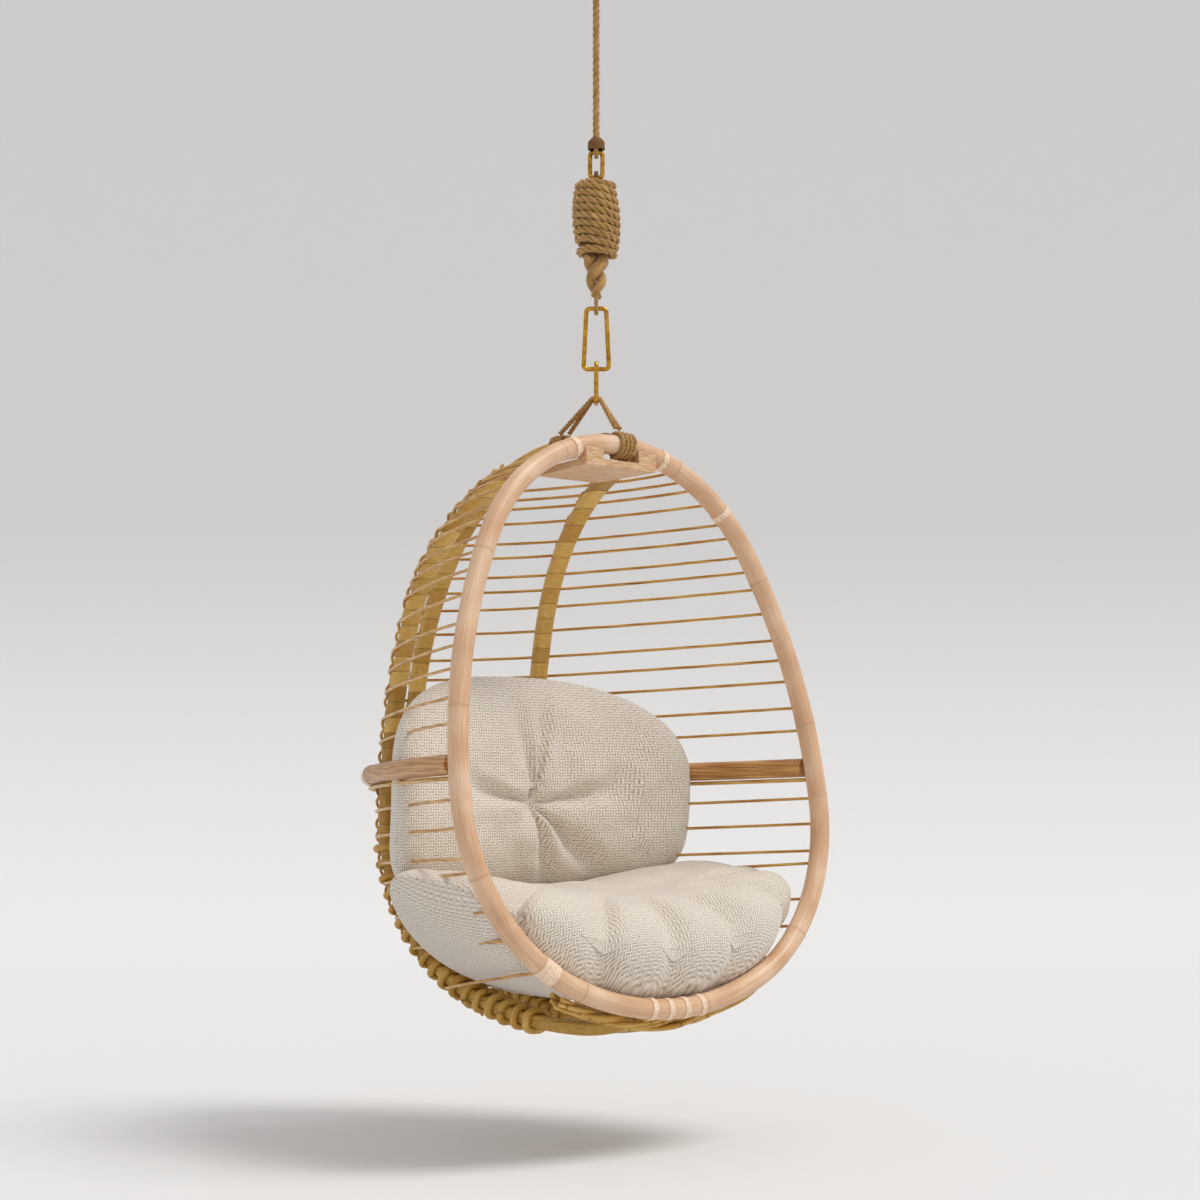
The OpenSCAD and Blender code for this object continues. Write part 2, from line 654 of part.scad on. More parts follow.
// The hoop is six bends of pole: the crown, the base and two flanks on each side.
module pole_section(r) {
    polygon([for (k = [0:23]) r * [cos(15 * k), sin(15 * k)]]);
}
module end_bend(height, bend, lap) {
    turn = flank_turn(hoop_w / 2, height, bend);
    translate([0, 0, height - bend]) rotate([90, 0, 0])
        lapped_arc(turn, 180 - 2 * turn, bend, lap) children();
}
module crown_bend() {
    translate([0, 0, waist_z]) end_bend(hoop_h - hoop_waist_h, crown_bend_r, 0) children();
}
module base_bend(lap = 0) {
    translate([0, 0, waist_z]) mirror([0, 0, 1]) end_bend(hoop_waist_h, base_bend_r, lap) children();
}
module flank(height, bend, lap) {
    s = flank_r(hoop_w / 2, height, bend);
    rotate([90, 0, 0]) translate([hoop_w / 2 - s, 0, 0])
        lapped_arc(0, flank_turn(hoop_w / 2, height, bend), s, lap) children();
}

module front_hoop() {
    color("burlywood") chair() in_hoop() {
        crown_bend() pole_section(pole_r + JOIN_SWELL);
        base_bend(JOIN_LAP) pole_section(pole_r);
        translate([0, 0, waist_z]) both_sides() {
            flank(hoop_h - hoop_waist_h, crown_bend_r, JOIN_LAP) pole_section(pole_r);
            mirror([0, 0, 1]) flank(hoop_waist_h, base_bend_r, 0) pole_section(pole_r + JOIN_SWELL);
        }
    }
}

// Sleeves of split cane bound round the pole
binding_t = 1.6;
module sleeve(bend, at, long, r) {
    angle = long / bend * 180 / PI;
    rotate([90, 0, 0]) rotate([0, 0, 90 - at - angle / 2]) rotate_extrude(angle = angle)
        translate([bend, 0]) difference() {
            circle(r + binding_t);
            circle(r + seat_play / 2);
        }
}

module hoop_bindings() {
    color("tan") chair() in_hoop() {
        for (at = [-16.6, 18.5, 46]) translate([0, 0, hoop_h / 2 - crown_bend_r])
            sleeve(crown_bend_r, at, 13, pole_r);
        // The long sleeve is on the left flank below the waist
        low_flank_r = flank_r(hoop_w / 2, hoop_waist_h, base_bend_r);
        translate([low_flank_r - hoop_w / 2, 0, waist_z]) sleeve(low_flank_r, 180 + 35, 38, pole_r);
        for (at = [-6, -2, 2, 6]) translate([0, 0, base_bend_r - hoop_h / 2])
            sleeve(base_bend_r, 180 + at, 12, pole_r);
    }
}

// The block under the crown: a plate that bears on the hoop by two pads
block_w = 185;
block_back_w = 156;
block_len = 162;
block_t = 14;
pad_w = 46;
pad_len = 24;
module crown_block() {
    color("wheat") chair() difference() {
        translate([0, crown_y - 23, crown_z - pole_r - 15]) rotate([-2.5, 0, 0]) {
            translate([0, 0, -block_t]) linear_extrude(block_t) polygon([
                [-block_w / 2, 0], [block_w / 2, 0], [block_w / 2, 30],
                [block_back_w / 2, block_len], [-block_back_w / 2, block_len], [-block_w / 2, 30]
            ]);
            both_sides() translate([block_w / 2 - pad_w, 0, -1]) cube([pad_w, pad_len, 40]);
        }
        in_hoop() {
            crown_bend() circle(pole_r + seat_play);
            translate([-block_w, -2 * pole_r, hoop_h / 2 - 12]) cube([2 * block_w, 4 * pole_r, 60]);
        }
    }
}

// ---- Ribs ----

// A flat bar with rounded edges
module rib_section(swell) {
    polygon([for (quarter = [0:3]) for (step = [0:3])
        let (a = 90 * quarter + 30 * step, edge = rib_edge_r + swell)
        [(quarter % 3 == 0 ? 1 : -1) * (rib_t / 2 - rib_edge_r) + edge * cos(a),
         (quarter < 2 ? 1 : -1) * (rib_w / 2 - rib_edge_r) + edge * sin(a)]]);
}

// A rib in its own plane, with x away from the fan line, and its foot on the hoop
module rib(rb) {
    in = rib_t / 2;
    foot_x = (rib_fan - crown_y) * tan(rb[0]);
    foot_z = hoop_low(foot_x) * cos(hoop_lean);
    foot_at = (hoop_low(foot_x) * sin(hoop_lean) + rib_fan) / cos(rb[0]);
    back = rb[6] - foot_at;
    up = foot_z - rib_low - in;
    foot_r = (back * back + up * up) / (2 * up);
    difference() {
        translate([0, -rib_fan, 0]) rotate([0, 0, 90 - rb[0]]) {
            translate([rb[1], 0, rb[3]])
                quarter_sweep(rb[2] - rb[1] - in, rb[4] - rb[3] - in, rb[5] - in, JOIN_LAP, 0) {
                    rib_section(0);
                    rib_section(JOIN_SWELL);
                }
            translate([rb[6], 0, rb[3]]) mirror([0, 0, 1])
                quarter_sweep(rb[2] - rb[6] - in, rb[3] - rib_low - in, rb[7] - in, 0, JOIN_LAP) {
                    rib_section(JOIN_SWELL);
                    rib_section(0);
                }
            translate([rb[6], 0, rib_low + in + foot_r]) rotate([90, 0, 0])
                rotate([0, 0, -90 - asin(back / foot_r)]) rotate_extrude(angle = asin(back / foot_r))
                translate([foot_r, 0]) rib_section(JOIN_SWELL);
            if (rb[0] == 0) translate([rb[1] - ridge_len, 0, rb[4] - in]) rotate([0, 90, 0])
                linear_extrude(ridge_len + JOIN_LAP) rib_section(0);
        }
        in_hoop() {
            crown_bend() circle(rb[0] == 0 ? lash_off + lash_d / 2 + seat_play : pole_r + seat_play);
            base_bend() circle(pole_r + binding_t + seat_play);
            translate([-200, pole_r / 2 - 200, -hoop_h / 2 - 100]) cube([400, 200, hoop_h + 200]);
        }
    }
}

module rib_left() {
    color("goldenrod") chair() mirror([1, 0, 0]) rib(SIDE_RIB);
}

module rib_centre() {
    color("goldenrod") chair() rib(CENTRE_RIB);
}

module rib_right() {
    color("goldenrod") chair() rib(SIDE_RIB);
}

// ---- Rail and canes ----

rail_off = rib_edge_r + cane_play + rail_d / 2;
rail_ring = ring(rail_level, RAIL_FALL, rail_off, RAIL_BOW, RAIL_BEND_R);

module mid_rail() {
    color("peru") chair() ring_plane(rail_ring) ring_spans(rail_ring, rail_d / 2, -JOIN_LAP) {
        pole_section(rail_d / 2);
        pole_section(rail_d / 2 + JOIN_SWELL);
    }
}

module rail_cane() {
    color("goldenrod") chair() ring_plane(rail_ring)
        translate([0, 0, -rail_d / 2 - rail_cane_d / 2 - binding_t - seat_play])
        ring_spans(rail_ring, rail_cane_d / 2, TIE_GAP) {
            circle(rail_cane_d / 2);
            circle(rail_cane_d / 2);
        }
}

module rail_bindings() {
    long = norm(rail_ring[1] - rail_ring[2]);
    color("tan") chair() ring_plane(rail_ring) both_sides()
        ring_arc(rail_ring[2], pass_heading(rail_ring), rail_ring[1], 26 / long, 58 / long)
            difference() {
                circle(rail_d / 2 + binding_t);
                circle(rail_d / 2 + seat_play / 2);
            }
}

module cane(n) {
    fall = n > CANES - len(LOW_CANE_FALLS) ? LOW_CANE_FALLS[n - CANES + len(LOW_CANE_FALLS) - 1] : CANE_FALL;
    rg = ring(CANE_LEVELS[n - 1], fall, rib_edge_r + cane_play + cane_d / 2, CANE_BOW, 0);
    color("peru") chair() ring_plane(rg) ring_spans(rg, cane_d / 2, TIE_GAP) {
        circle(cane_d / 2);
        circle(cane_d / 2);
    }
}

// ---- Cushions ----

CUSHION_RAYS = 48;

// A closed solid from rings of points between a first and a last point
module ringed_solid(first, rings, last) {
    n = CUSHION_RAYS;
    m = len(rings);
    points = concat([first], [for (rg = rings) each rg], [last]);
    polyhedron(points, concat(
        [for (k = [0:n - 1]) [0, 1 + k, 1 + (k + 1) % n]],
        [for (i = [0:m - 2]) for (k = [0:n - 1])
            let (a = 1 + i * n + k, b = 1 + i * n + (k + 1) % n) each [[a, a + n, b], [b, a + n, b + n]]],
        [for (k = [0:n - 1]) [1 + (m - 1) * n + k, 1 + m * n, 1 + (m - 1) * n + (k + 1) % n]]
    ));
}

// Back cushion: a bowl-shaped pillow with a tuft from which creases run to the rim
back_rim_y = 380;
back_bowl = 115;
back_puff = 45;
back_mid_z = -122;
crease_depth = 16;
BACK_CREASES = [100, 78, 8, -38, -70, 170];
function crease(angle, at, wide) = exp(-pow((((angle - at) % 360 + 540) % 360 - 180) / wide, 2));
function back_base(x, z) = 330 - back_bowl * pow(2 * x / back_w, 2) + (back_rim_y - 330) * pow(2 * z / back_h, 2);
function back_spot(r, a) =
    let (k = pow(pow(abs(cos(a)), 2.4) + pow(abs(sin(a)), 2.4), -1 / 2.4))
    [r * k * cos(a) * back_w / 2, r * k * sin(a) * back_h / 2];
function back_front(r, a) =
    let (p = back_spot(r, a))
    [p[0], back_base(p[0], p[1]) - back_puff * sqrt(1 - pow(r, 4)) + tuft_depth * exp(-pow(5 * r, 2))
        + crease_depth * sin(180 * pow(r, 0.7)) * max([for (c = BACK_CREASES) crease(a, c, 7)]),
     back_mid_z + p[1]];
function back_rear(r, a) =
    let (p = back_spot(r, a))
    [p[0], back_base(p[0], p[1]) + back_depth * sqrt(1 - pow(r, 2.2)), back_mid_z + p[1]];

module back_cushion() {
    rays = [for (k = [0:CUSHION_RAYS - 1]) k * 360 / CUSHION_RAYS];
    front = [for (r = [0.07, 0.15, 0.28, 0.43, 0.58, 0.72, 0.85, 0.94, 0.985]) [for (a = rays) back_front(r, a)]];
    rear = [for (r = [1, 0.97, 0.9, 0.78, 0.6, 0.4, 0.2]) [for (a = rays) back_rear(r, a)]];
    color("antiquewhite") chair()
        ringed_solid(back_front(0, 0), concat(front, rear), back_rear(0, 0));
}

// Seat cushion: deep in the middle, where it rests on the ribs, with channels that fan to the front
seat_mid_y = 165;
seat_mid_z = -438;
seat_rest = rib_low + rib_t + 0.8
    + CENTRE_BASE_R - sqrt(pow(CENTRE_BASE_R, 2) - pow(seat_mid_y - CENTRE_LOW_AT, 2));
SEAT_CHANNELS = [-150, -122, -98, -76, -52, -28];
function seat_spot(r, a) =
    [r * cos(a) * (1 - 0.24 * sin(a)) * seat_w / 2, seat_mid_y + r * sin(a) * seat_d / 2];
function seat_rim(p, r, a) =
    let (back = max(0, sin(a)) * r, front = max(0, -sin(a)) * r)
    seat_mid_z + 35 * back + 25 * front * front + 30 * pow(r * cos(a), 2);
function seat_top(r, a) =
    let (p = seat_spot(r, a))
    [p[0], p[1], seat_rim(p, r, a) + (seat_crown - 45 * max(0, sin(a)) * r) * sqrt(1 - pow(r, 3))
        - channel_depth * sin(180 * pow(r, 1.5)) * max([for (c = SEAT_CHANNELS) crease(a, c, 5)])];
function seat_under(r, a) =
    let (p = seat_spot(r, a))
    [p[0], p[1], seat_rim(p, r, a) - (seat_mid_z - seat_rest) * pow(1 - pow(r, 1.6), 0.9)];

module seat_cushion() {
    rays = [for (k = [0:CUSHION_RAYS - 1]) k * 360 / CUSHION_RAYS];
    top = [for (r = [0.12, 0.26, 0.42, 0.58, 0.72, 0.84, 0.93, 0.98]) [for (a = rays) seat_top(r, a)]];
    under = [for (r = [1, 0.96, 0.88, 0.76, 0.6, 0.42, 0.22]) [for (a = rays) seat_under(r, a)]];
    color("antiquewhite") chair()
        ringed_solid(seat_top(0, 0), concat(top, under), seat_under(0, 0));
}

ceiling_plate();
swivel_washer();
swivel_nut();
ceiling_hook();
rope_thimble();
top_rope();
eye_seizing();
rope_collar();
top_link();
knot_core();
rope_knot();
knot_neck();
long_link();
small_link();
bail_cord_left();
bail_cord_right();
front_lashing();
rear_lashing();
front_hoop();
hoop_bindings();
crown_block();
rib_left();
rib_centre();
rib_right();
mid_rail();
rail_cane();
rail_bindings();
for (n = [1:CANES]) cane(n);
back_cushion();
seat_cushion();
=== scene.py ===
# %% [markdown]
# # A hanging egg chair
# A rattan basket hangs on a rope. The pieces that bear load come ready-made as a fixed frame of
# plain solids. Each step below dresses one part of it: it says what the piece is on the real
# chair, how it could be made in Blender, and why this way was chosen. Blender's lengths are
# metres; the chair's own measures are written in millimetres and turned to metres in one place.

# %% Load the frame
import math

import bmesh
import bpy
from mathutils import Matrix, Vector, noise


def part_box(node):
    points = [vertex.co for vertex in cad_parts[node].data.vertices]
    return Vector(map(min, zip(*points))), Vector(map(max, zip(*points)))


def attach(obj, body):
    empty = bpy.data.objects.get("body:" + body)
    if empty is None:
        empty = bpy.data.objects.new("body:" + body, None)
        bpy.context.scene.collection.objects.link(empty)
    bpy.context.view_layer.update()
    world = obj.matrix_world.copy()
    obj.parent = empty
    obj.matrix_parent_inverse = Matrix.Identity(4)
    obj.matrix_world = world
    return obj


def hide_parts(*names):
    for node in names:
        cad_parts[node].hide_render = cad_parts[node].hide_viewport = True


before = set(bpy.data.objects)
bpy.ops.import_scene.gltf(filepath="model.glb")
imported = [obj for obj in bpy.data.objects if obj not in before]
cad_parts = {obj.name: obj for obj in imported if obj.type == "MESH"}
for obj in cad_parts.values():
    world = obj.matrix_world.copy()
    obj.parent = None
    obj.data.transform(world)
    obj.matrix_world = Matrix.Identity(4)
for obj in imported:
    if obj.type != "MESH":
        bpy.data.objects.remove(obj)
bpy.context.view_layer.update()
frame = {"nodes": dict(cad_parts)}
print("solids in the frame:", len(frame["nodes"]))

# %% [markdown]
# ## Camera
# The camera stands a little below the middle of the basket, left of the front, and looks slightly
# up. A 72 mm lens on a 36 mm sensor keeps the egg's outline free of wide-angle stretch.

# %% Set up the camera
camera = bpy.data.objects.new("camera", bpy.data.cameras.new("camera"))
camera.data.lens = 72
camera.data.sensor_width = 36
camera.location = (-3.155, -3.5152, -1.7625)
LOOK = Vector((0.667, 0.7408, 0.0798))
camera.rotation_euler = LOOK.to_track_quat("-Z", "Y").to_euler()
bpy.context.collection.objects.link(camera)
bpy.context.scene.camera = camera
print("camera looks along", tuple(LOOK))

# %% [markdown]
# ## The chair's measures
# The basket is drawn from circular arcs, so a handful of radii describe it. They are measured
# from the middle of the front hoop. The hoop is widest at its waist and leans back. The rope
# hangs HANG_Y behind the hoop's middle, the ceiling is DROP above it, and the links are turned
# by LINK_YAW. `place` turns a point of the chair into a place in the scene, `in_hoop` does it
# for a point in the hoop's plane, and `on_rope` for one beside the rope's middle line.

# %% Measures of the basket
POLE_R, HOOP_H, HOOP_W, WAIST_H = 19.5, 1100, 932, 396
WAIST_Z = WAIST_H - HOOP_H / 2
CROWN_R, BASE_R, LEAN = 386, 600, math.radians(8.7)
CROWN_Y, CROWN_Z = HOOP_H / 2 * math.sin(LEAN), HOOP_H / 2 * math.cos(LEAN)
HANG_Y, DROP = CROWN_Y + 52, 1625
LINK_YAW = math.radians(42)

def place(x, y, z):
    return Vector((x, y - HANG_Y, z - DROP)) / 1000

def in_hoop(x, along):
    return place(x, along * math.sin(LEAN), along * math.cos(LEAN))

def on_rope(x, y, z):
    c, s = math.cos(LINK_YAW), math.sin(LINK_YAW)
    return Vector((c * x + s * y, c * y - s * x, z - DROP)) / 1000

print("the crown of the hoop is at", in_hoop(0, HOOP_H / 2))

# %% [markdown]
# A quarter of the egg is a long gentle arc, the flank, that runs into a tighter bend at its end.
# The same two arcs, with other numbers, draw the hoop and all three ribs. `half` is how far the
# quarter reaches sideways, `height` how far it goes up, and `bend` the radius at its end.

# %% Quarter of an egg
def flank(half, height, bend):
    radius = (half * half + height * height - 2 * height * bend) / (2 * (half - bend))
    turn = math.atan2((height - bend) / (radius - bend), (radius - half) / (radius - bend))
    return radius, turn

def quarter_x(half, height, bend, z):
    radius, turn = flank(half, height, bend)
    if z <= radius * math.sin(turn):
        return half - radius + math.sqrt(max(0, radius * radius - z * z))
    return math.sqrt(max(0, bend * bend - (z - height + bend) ** 2))

def quarter(half, height, bend, step=9):
    radius, turn = flank(half, height, bend)
    n, m = round(radius * turn / step), round(bend * (math.pi / 2 - turn) / step)
    low = [turn * i / n for i in range(n)]
    high = [turn + (math.pi / 2 - turn) * i / m for i in range(m + 1)]
    return [(half - radius + radius * math.cos(t), radius * math.sin(t)) for t in low] + \
           [(bend * math.cos(t), height - bend + bend * math.sin(t)) for t in high]

print("radius of the hoop's upper flank:", round(flank(HOOP_W / 2, HOOP_H - WAIST_H, CROWN_R)[0]))

# %% [markdown]
# The hoop's outline is four such quarters: two go up from the waist and two go down. Each pair
# is mirrored, and the shared end points are left out once.

# %% Outline of the hoop
up_right = [(x, WAIST_Z + z) for x, z in quarter(HOOP_W / 2, HOOP_H - WAIST_H, CROWN_R)]
down_right = [(x, WAIST_Z - z) for x, z in quarter(HOOP_W / 2, WAIST_H, BASE_R)]
egg = up_right + [(-x, z) for x, z in up_right[-2::-1]] + \
    [(-x, z) for x, z in down_right[1:]] + down_right[-2:0:-1]
hoop_path = [in_hoop(x, z) for x, z in egg]
print("points round the hoop:", len(hoop_path))

# %% [markdown]
# ## Tubes of cane and strands of rope
# Poles, canes and rope strands are all tubes along a path. Blender's curves make such a tube when
# they have a bevel depth, and a radius on each point lets it swell at a joint. The curve is then
# turned into a mesh. Each vertex also stores where it would be if the tube were straight, in an
# attribute called grain, so that a pattern of fibres can follow every bend. Each path starts at
# another place along the grain, so that two strands never look the same.

# %% Make tubes along paths
GRAIN_START = 0.37

def tubes(name, paths, radius, sides=12, closed=False, swell=None, twist=0.0):
    curve = bpy.data.curves.new(name, "CURVE")
    curve.dimensions = "3D"
    curve.bevel_depth = radius
    curve.bevel_resolution = (sides - 4) // 2
    grain = []
    for count, path in enumerate(paths):
        spline = curve.splines.new("POLY")
        spline.points.add(len(path) - 1)
        spline.use_cyclic_u = closed
        along = GRAIN_START * count
        for i, (point, p) in enumerate(zip(spline.points, path)):
            along += (p - path[i - 1]).length if i else 0
            size = swell(count, along, i / (len(path) - 1)) if swell else 1
            point.co = (*p, 1)
            point.radius = size
            for k in range(sides):
                a = 2 * math.pi * k / sides + twist * along
                grain += [radius * math.cos(a), radius * math.sin(a), along]
    holder = bpy.data.objects.new(name + "_curve", curve)
    bpy.context.collection.objects.link(holder)
    mesh = bpy.data.meshes.new_from_object(holder)
    bpy.data.objects.remove(holder)
    mesh.attributes.new("grain", "FLOAT_VECTOR", "POINT").data.foreach_set("vector", grain)
    return finished(name, mesh, close=not closed)

print("each path's grain starts", GRAIN_START, "m after the last one's")

# %% [markdown]
# Open ends are filled and the normals are made to point outwards. A piece is shaded smooth, but
# edges that turn by more than SHARP stay sharp. Its object sits at the origin with its place in
# its mesh.

# %% Finish a mesh
SHARP = 0.9

def finished(name, mesh, close=True):
    bm = bmesh.new()
    bm.from_mesh(mesh)
    if close:
        bmesh.ops.holes_fill(bm, edges=[e for e in bm.edges if e.is_boundary])
    bmesh.ops.recalc_face_normals(bm, faces=bm.faces)
    for face in bm.faces:
        face.smooth = True
    for edge in bm.edges:
        edge.smooth = not (edge.is_manifold and edge.calc_face_angle(0) > SHARP)
    bm.to_mesh(mesh)
    bm.free()
    piece = bpy.data.objects.new(name, mesh)
    bpy.context.collection.objects.link(piece)
    return piece

print("edges stay sharp above", round(math.degrees(SHARP)), "degrees")

# %% [markdown]
# Every piece rides on the body that carries it, stands for a solid of the frame, and has a
# material. One small function does all three.

# %% Fit a piece
def fit(piece, body, slot, material, *nodes):
    piece.data.materials.clear()
    piece.data.materials.append(material)
    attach(piece, body)
    if nodes:
        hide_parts(*nodes)
    print(piece.name, "has", len(piece.data.polygons), "faces")
    return piece

# %% [markdown]
# ## Materials
# Colours are written as sRGB hex values, as a picker shows them, and turned to the linear values
# that Cycles works with. One function adds a node with its settings and links.

# %% Colour and node helpers
def linear(code):
    parts = [int(code[i:i + 2], 16) / 255 for i in (1, 3, 5)]
    return tuple(c / 12.92 if c <= 0.04045 else ((c + 0.055) / 1.055) ** 2.4
                 for c in parts) + (1.0,)

def add(tree, kind, inputs=None, **settings):
    new = tree.nodes.new(kind)
    for key, value in settings.items():
        setattr(new, key, value)
    for key, value in (inputs or {}).items():
        if isinstance(value, bpy.types.NodeSocket):
            tree.links.new(value, new.inputs[key])
        else:
            new.inputs[key].default_value = value
    return new

print("a mid grey in linear light:", [round(c, 3) for c in linear("#808080")])

# %% [markdown]
# A material starts as a plain Principled shader with its roughness. Nearly every one then ends
# the same way: a pattern runs through a colour ramp, and another one gives the relief.

# %% Start and finish a material
def start(name, roughness, **more):
    material = bpy.data.materials.new(name)
    material.use_nodes = True
    shader = material.node_tree.nodes["Principled BSDF"]
    shader.inputs["Roughness"].default_value = roughness
    for key, value in more.items():
        shader.inputs[key.replace("_", " ")].default_value = value
    return material, material.node_tree, shader

def ramp(tree, factor, stops):
    new = add(tree, "ShaderNodeValToRGB", {"Fac": factor})
    while len(new.color_ramp.elements) < len(stops):
        new.color_ramp.elements.new(0.5)
    for element, (at, code) in zip(new.color_ramp.elements, stops):
        element.position = at
        element.color = linear(code)
    return new.outputs["Color"]

def coat(tree, shader, colour, height, strength, distance):
    relief = add(tree, "ShaderNodeBump",
                 {"Strength": strength, "Distance": distance, "Height": height})
    tree.links.new(colour, shader.inputs["Base Color"])
    tree.links.new(relief.outputs[0], shader.inputs["Normal"])

print("helpers for materials: start, ramp and coat")

# %% [markdown]
# ### Rattan
# Rattan is a vine with long fibres and a ring at each joint. Peeled and sanded pole is pale and
# satin; cane with its skin on is tan and glossier. Both are one recipe with other colours: a
# noise that is stretched forty times along the grain gives the fibres, and the rings come
# from the distance along the stem. Fibre bundles are about 0.8 mm apart and are drawn at 2 mm,
# because finer ones wouldn't show. A ring is 1.6 mm wide and fades out 4.5 mm from its middle.

# %% Rattan recipe
def rattan(name, stops, ring_colour, roughness, joint, fibre=0.002):
    material, tree, shader = start(name, roughness)
    grain = add(tree, "ShaderNodeAttribute", attribute_name="grain").outputs["Vector"]
    narrow = add(tree, "ShaderNodeMapping", {"Vector": grain, "Scale": (1, 1, 0.025)})
    fibres = add(tree, "ShaderNodeTexNoise", {"Vector": narrow.outputs[0], "Scale": 1 / fibre,
                                              "Detail": 3.0, "Roughness": 0.6})
    patches = add(tree, "ShaderNodeTexNoise", {"Vector": grain, "Scale": 9.0, "Detail": 2.0})
    tone = add(tree, "ShaderNodeMix", {"Factor": 0.55, "A": fibres.outputs["Fac"],
                                       "B": patches.outputs["Fac"]}, data_type="FLOAT")
    along = add(tree, "ShaderNodeSeparateXYZ", {"Vector": grain}).outputs["Z"]
    steps = add(tree, "ShaderNodeMath", {0: along, 1: joint}, operation="DIVIDE")
    share = add(tree, "ShaderNodeMath", {0: steps.outputs[0]}, operation="FRACT")
    away = add(tree, "ShaderNodeMath", {0: share.outputs[0], 1: 0.5}, operation="SUBTRACT")
    near = add(tree, "ShaderNodeMath", {0: away.outputs[0]}, operation="ABSOLUTE")
    ring = add(tree, "ShaderNodeMapRange",
               {"Value": near.outputs[0], "From Min": 0.0008 / joint,
                "From Max": 0.0045 / joint, "To Min": 0.75, "To Max": 0.0})
    mixed = add(tree, "ShaderNodeMix",
                {"Factor": ring.outputs[0], "A": ramp(tree, tone.outputs[0], stops),
                 "B": linear(ring_colour)}, data_type="RGBA")
    coat(tree, shader, mixed.outputs["Result"], fibres.outputs["Fac"], 0.25, 0.0006)
    return material

POLE_JOINT = 0.31
peeled_pole = rattan("peeled_rattan_pole",
                     [(0.30, "#BF8F68"), (0.48, "#D4AA85"), (0.62, "#E4C5A5")],
                     "#C49A78", 0.42, POLE_JOINT)
tan_cane = rattan("tan_cane", [(0.28, "#9A6820"), (0.45, "#C08C36"), (0.60, "#DDB668")],
                  "#6E4314", 0.33, 0.13, 0.0012)
gold_cane = rattan("golden_cane", [(0.28, "#8C6116"), (0.46, "#BF8E32"), (0.62, "#DDB766")],
                   "#7A5312", 0.36, 0.11, 0.0016)
print("rattan materials:", [m.name for m in (peeled_pole, tan_cane, gold_cane)])

# %% [markdown]
# ### Rope
# The rope is laid from three strands of natural fibre. The strands are real geometry further
# down, so the material only adds the fibres, which twist round each strand, and loose dust-brown
# shades. Fibres are about 0.3 mm thick and are drawn at 1 mm.

# %% Laid rope
jute, tree, shader = start("jute_rope", 0.8, Sheen_Weight=0.25)
grain = add(tree, "ShaderNodeAttribute", attribute_name="grain").outputs["Vector"]
narrow = add(tree, "ShaderNodeMapping", {"Vector": grain, "Scale": (1, 1, 0.08)})
fibres = add(tree, "ShaderNodeTexNoise",
             {"Vector": narrow.outputs[0], "Scale": 900.0, "Detail": 4.0})
patches = add(tree, "ShaderNodeTexNoise", {"Vector": grain, "Scale": 25.0, "Detail": 2.0})
tone = add(tree, "ShaderNodeMix", {"Factor": 0.4, "A": fibres.outputs["Fac"],
                                   "B": patches.outputs["Fac"]}, data_type="FLOAT")
browns = ramp(tree, tone.outputs[0], [(0.30, "#6E4A1E"), (0.48, "#A87C3C"), (0.66, "#D2AC6A")])
coat(tree, shader, browns, fibres.outputs["Fac"], 0.7, 0.0008)
print("rope material:", jute.name)

# %% [markdown]
# ### Metal
# The links are brass rod with a soft satin surface, and the ceiling fitting is zinc-plated steel.
# A metal gets its colour from its reflections, so the base colour is the colour of the shine. A
# slow noise in the roughness makes the worn places duller.

# %% Brass and steel
def metal(name, colour, worn, rough_low, rough_high):
    material, tree, shader = start(name, rough_high, Metallic=1.0)
    spot = add(tree, "ShaderNodeTexCoord").outputs["Object"]
    patches = add(tree, "ShaderNodeTexNoise", {"Vector": spot, "Scale": 90.0, "Detail": 5.0})
    rough = add(tree, "ShaderNodeMapRange",
                {"Value": patches.outputs["Fac"], "From Min": 0.35, "From Max": 0.65,
                 "To Min": rough_low, "To Max": rough_high})
    tree.links.new(rough.outputs[0], shader.inputs["Roughness"])
    colours = ramp(tree, patches.outputs["Fac"], [(0.35, worn), (0.6, colour)])
    coat(tree, shader, colours, patches.outputs["Fac"], 0.15, 0.0004)
    return material

satin_brass = metal("satin_brass", "#D6A43A", "#A87620", 0.30, 0.45)
zinc_steel = metal("zinc_plated_steel", "#C9C9C6", "#9C9C98", 0.28, 0.42)
print("metals:", satin_brass.name, zinc_steel.name)

# %% [markdown]
# ### Solids without a grain
# The block under the crown, the bindings, the canes, the rails and the ribs are solids of the
# frame. They have no grain attribute, so their patterns read Object coordinates. A noise that is
# squeezed across the fibres gives the streaks: across the height only for the canes and rails,
# which run level round the basket, and evenly for strips too short to show a direction. The
# numbers are streaks per metre along x, y and z.

# %% Wood, strips and level canes
def streaked(name, stops, streaks, roughness=0.45):
    material, tree, shader = start(name, roughness)
    spot = add(tree, "ShaderNodeTexCoord").outputs["Object"]
    squeezed = add(tree, "ShaderNodeMapping", {"Vector": spot, "Scale": streaks})
    lines = add(tree, "ShaderNodeTexNoise",
                {"Vector": squeezed.outputs[0], "Scale": 1.0, "Detail": 4.0}).outputs["Fac"]
    coat(tree, shader, ramp(tree, lines, stops), lines, 0.3, 0.0006)
    return material

